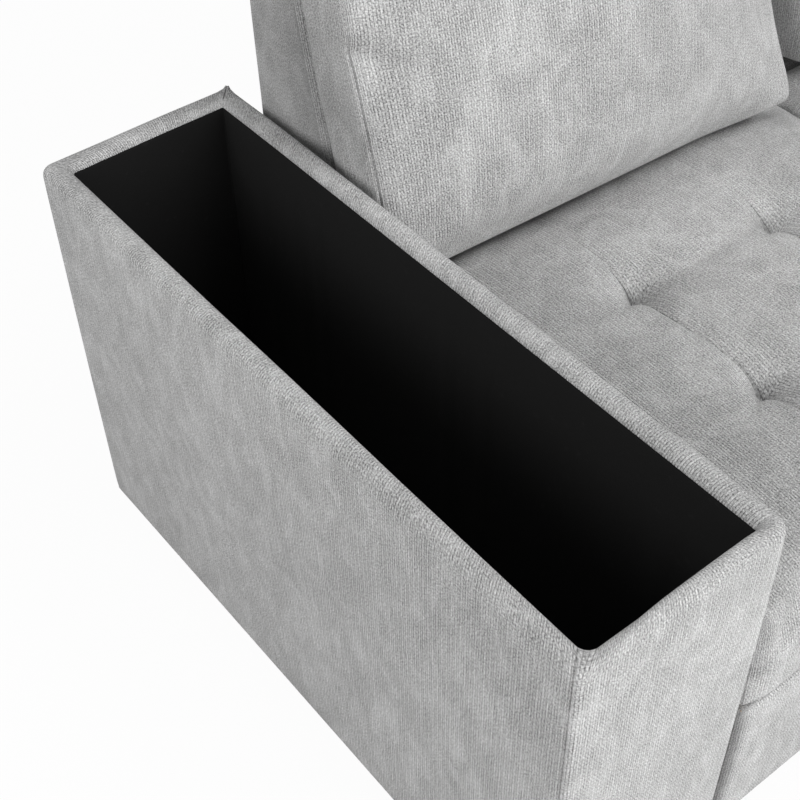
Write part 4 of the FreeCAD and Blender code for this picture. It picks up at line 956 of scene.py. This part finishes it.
def makeBackCushion(name, node, body, seed, askew, aside, drawn):
    # in the cushion's own frame x is its width, y runs up the backrest and z is its thickness
    shape = cushionShape
    up = Vector((0, math.sin(lean), math.cos(lean)))
    out = Vector((0, -math.cos(lean), math.sin(lean)))
    turn = np.array([Vector((1, 0, 0)), up, out]).T
    local = np.array([v.co for v in frame["nodes"][node].data.vertices]) @ turn
    base, tip = local.min(axis=0), local.max(axis=0)
    size = tip - base - [shape["narrower"], shape["lower"], shape["crown"] * shape["crownKept"]]
    # aside says how much of the spare width lies on its left, drawn how far each side draws in
    start = base + [aside * shape["narrower"], *shape["raised"]]
    xs = ticks(size[0], 0.014, 0.004, 0.03)
    ys = ticks(size[1], 0.014, 0.004, 0.03)
    zs = ticks(size[2], 0.010, 0.0028, 0.03)
    random = np.random.default_rng(seed)

    def form(grid):
        point = rounded(grid, size, (shape["side"], shape["bottom"], shape["rearEdge"]),
                        (shape["side"], shape["side"], shape["face"]))
        a, b, c = np.moveaxis(point / size, -1, 0)
        fullness = shape["fullness"]
        middle = (1 - np.abs(2 * a - 1) ** fullness) * (1 - np.abs(2 * b - 1) ** fullness)
        point[..., 2] += shape["crown"] * middle * smooth(2 * c - 1)
        # the free sides and the top draw in between their corners, a side at the arm fills out
        drawIn = shape["drawIn"] * np.sin(math.pi * b)
        point[..., 0] += drawIn * (drawn[0] * smooth(1 - 2 * a) - drawn[1] * smooth(2 * a - 1))
        bulge = shape["bulge"] * smooth((b - 0.25) / 0.3)
        point[..., 0] -= bulge * (1 - drawn[0]) * smooth(1 - 8 * a)
        point[..., 1] += shape["topIn"] * (1 - (2 * a - 1) ** 2) * (1 - 2 * b) * (b > 0.5)
        # the foot rests flat on the seat, and the face curves back to it
        rest = smooth(1 - b * size[1] / shape["restReach"])
        # but not at its free corners, which stand out as ears
        free = drawn[0] * smooth(1 - a / 0.25) + drawn[1] * smooth(1 - (1 - a) / 0.25)
        rest = rest * (1 - 0.85 * free)
        point[..., 2] -= shape["restBack"] * rest * c
        point[..., 1] -= math.tan(lean) * point[..., 2] * rest
        return (point + start) @ turn.T

    patches = blockPatches(size, (xs, ys, zs), form, sideRibs="y")
    piece = makePiece(name, patches, finishes["upholstery"])

    def held(points):
        inside = points @ turn - start
        return (inside[:, 2] < 0.003) | (inside[:, 1] < 0.008)

    def most(points):
        # the front face fills out most, the side strip least
        inside = points @ turn - start
        edge = np.minimum.reduce([inside[:, 0], size[0] - inside[:, 0],
                                  inside[:, 1], size[1] - inside[:, 1]])
        return shape["least"] + (shape["most"] - shape["least"]) * smooth(edge / 0.09)

    swell(piece, most, held)
    subdivide(piece)
    points = readPoints(piece) @ turn - start
    way = readWay(piece)
    face = smooth(way / 0.03)
    x, y = points[:, 0], points[:, 1]
    # soft folds run in from the corners
    for cornerX, cornerY in ((0, 0), (1, 0), (0, 1), (1, 1)):
        dx, dy = np.abs(x - cornerX * size[0]), np.abs(y - cornerY * size[1])
        slant = dx - dy + random.uniform(-0.01, 0.01)
        crease = hill(slant, 0.018) * hill(np.hypot(dx, dy) - 0.08, 0.055)
        points[:, 2] -= shape["cornerFold"] * crease * face
    # a fold runs in from one side and falls towards the middle
    fallen = shape["foldFrom"] - (shape["foldFrom"] - shape["foldTo"]) * smooth(x / 0.06)
    fold = foldStep(fallen - y, shape["foldWidth"], 3 * shape["foldWidth"])
    fold = fold * hill(x - 0.015, 0.055) * smooth((way + 0.09) / 0.06)
    points[:, 2] -= shape["foldDepth"] * fold
    points[:, 2] += shape["ripple"] * waves(points, seed, size=0.20) * face
    seamShown = smooth((fallen - y) / 0.03 + 0.5) * 0.8 + 0.2
    points = (points + start) @ turn.T
    # the cushion stands a little askew, turned about its front left corner
    pivot = (np.array([0, 0, size[2]]) + start) @ turn.T
    angle = math.radians(askew)
    x, y = points[:, 0] - pivot[0], points[:, 1] - pivot[1]
    points[:, 0] = (pivot[0] + shape["aside"] * askew
                    + x * math.cos(angle) + y * math.sin(angle))
    points[:, 1] = pivot[1] + y * math.cos(angle) - x * math.sin(angle)
    writePoints(piece, points)
    # the seam between the front face and the side strip pulls in, and the cloth beside it stands up
    fromSeam = way + shape["seamAt"]
    seam = hill(fromSeam, shape["seamWidth"]) - 0.25 * hill(fromSeam, 4 * shape["seamWidth"])
    press(piece, shape["seamDepth"] * seamShown * seam)
    finishPiece(piece, body, [node])


makeBackCushion("left_pillow", "left_back_cushion", "left_cushion",
                seed=41, askew=3.4, aside=0, drawn=(0, 1))
makeBackCushion("middle_pillow", "middle_back_cushion", "middle_cushion",
                seed=42, askew=0.6, aside=0.4, drawn=(1, 1))
makeBackCushion("chaise_pillow", "chaise_back_cushion", "chaise_cushion",
                seed=43, askew=0.0, aside=0.9, drawn=(1, 0))
print("cushions")


# The frame's own pieces keep their shapes and take the finishes of their material slots

def dressFrame():
    for part in frame["record"]["subparts"]:
        node = frame["nodes"][part["node"]]
        if not node.hide_render:
            node.data.materials.clear()
            node.data.materials.append(finishes[part["material_slot"]])


dressFrame()


# Floor, light and surroundings

def makeFloor():
    half = 14.0
    mesh = bpy.data.meshes.new("floor")
    mesh.from_pydata([(-half, -half, 0), (half, -half, 0), (half, half, 0), (-half, half, 0)], [],
                     [(0, 1, 2, 3)])
    floor = bpy.data.objects.new("floor", mesh)
    scene.collection.objects.link(floor)
    paint = Finish("pale_floor", Roughness=0.9)
    paint.shader.inputs["Base Color"].default_value = grey(0.80)
    glow = paint.node("ShaderNodeEmission", {}, {"Color": grey(1.0), "Strength": 1.0})
    # most of what is seen is the plain white background, the rest keeps the object's shadow
    matt = Wire(paint, paint.shader.outputs[0])
    both = paint.node("ShaderNodeMixShader", {}, {0: paint.seenDirectly() * 0.96, 1: matt, 2: glow})
    paint.feed(paint.tree.nodes["Material Output"].inputs["Surface"], both)
    mesh.materials.append(paint.material)


def makeWorld():
    scene.world = bpy.data.worlds.new("studio")
    scene.world.use_nodes = True
    room = Nodes(scene.world.node_tree)
    room.tree.nodes.clear()
    light, white = (room.node("ShaderNodeBackground", {}, {"Color": grey(1.0), "Strength": power})
                    for power in (0.20, 1.0))
    both = room.node("ShaderNodeMixShader", {}, {0: room.seenDirectly(), 1: light, 2: white})
    room.feed(room.tree.nodes.new("ShaderNodeOutputWorld").inputs["Surface"], both)


def makeLamp(name, place, size, power):
    # a round soft lamp, aimed at the seats
    data = bpy.data.lights.new(name, "AREA")
    data.shape = "DISK"
    data.size = size
    data.energy = power
    lamp = bpy.data.objects.new(name, data)
    scene.collection.objects.link(lamp)
    aim = (Vector((0, 0, 0.3)) - Vector(place)).to_track_quat("-Z", "Y")
    lamp.matrix_world = Matrix.Translation(place) @ aim.to_matrix().to_4x4()


makeFloor()
makeWorld()
makeLamp("key", (4.2, -2.4, 3.2), size=1.6, power=80)
makeLamp("left", (-3.8, 0.6, 2.3), size=1.8, power=56)
makeLamp("low", (-0.6, -4.6, 1.4), size=1.8, power=150)
makeLamp("top", (0.5, -1.4, 4.8), size=1.8, power=86)
print("stage")

scene.view_settings.view_transform = "Standard"
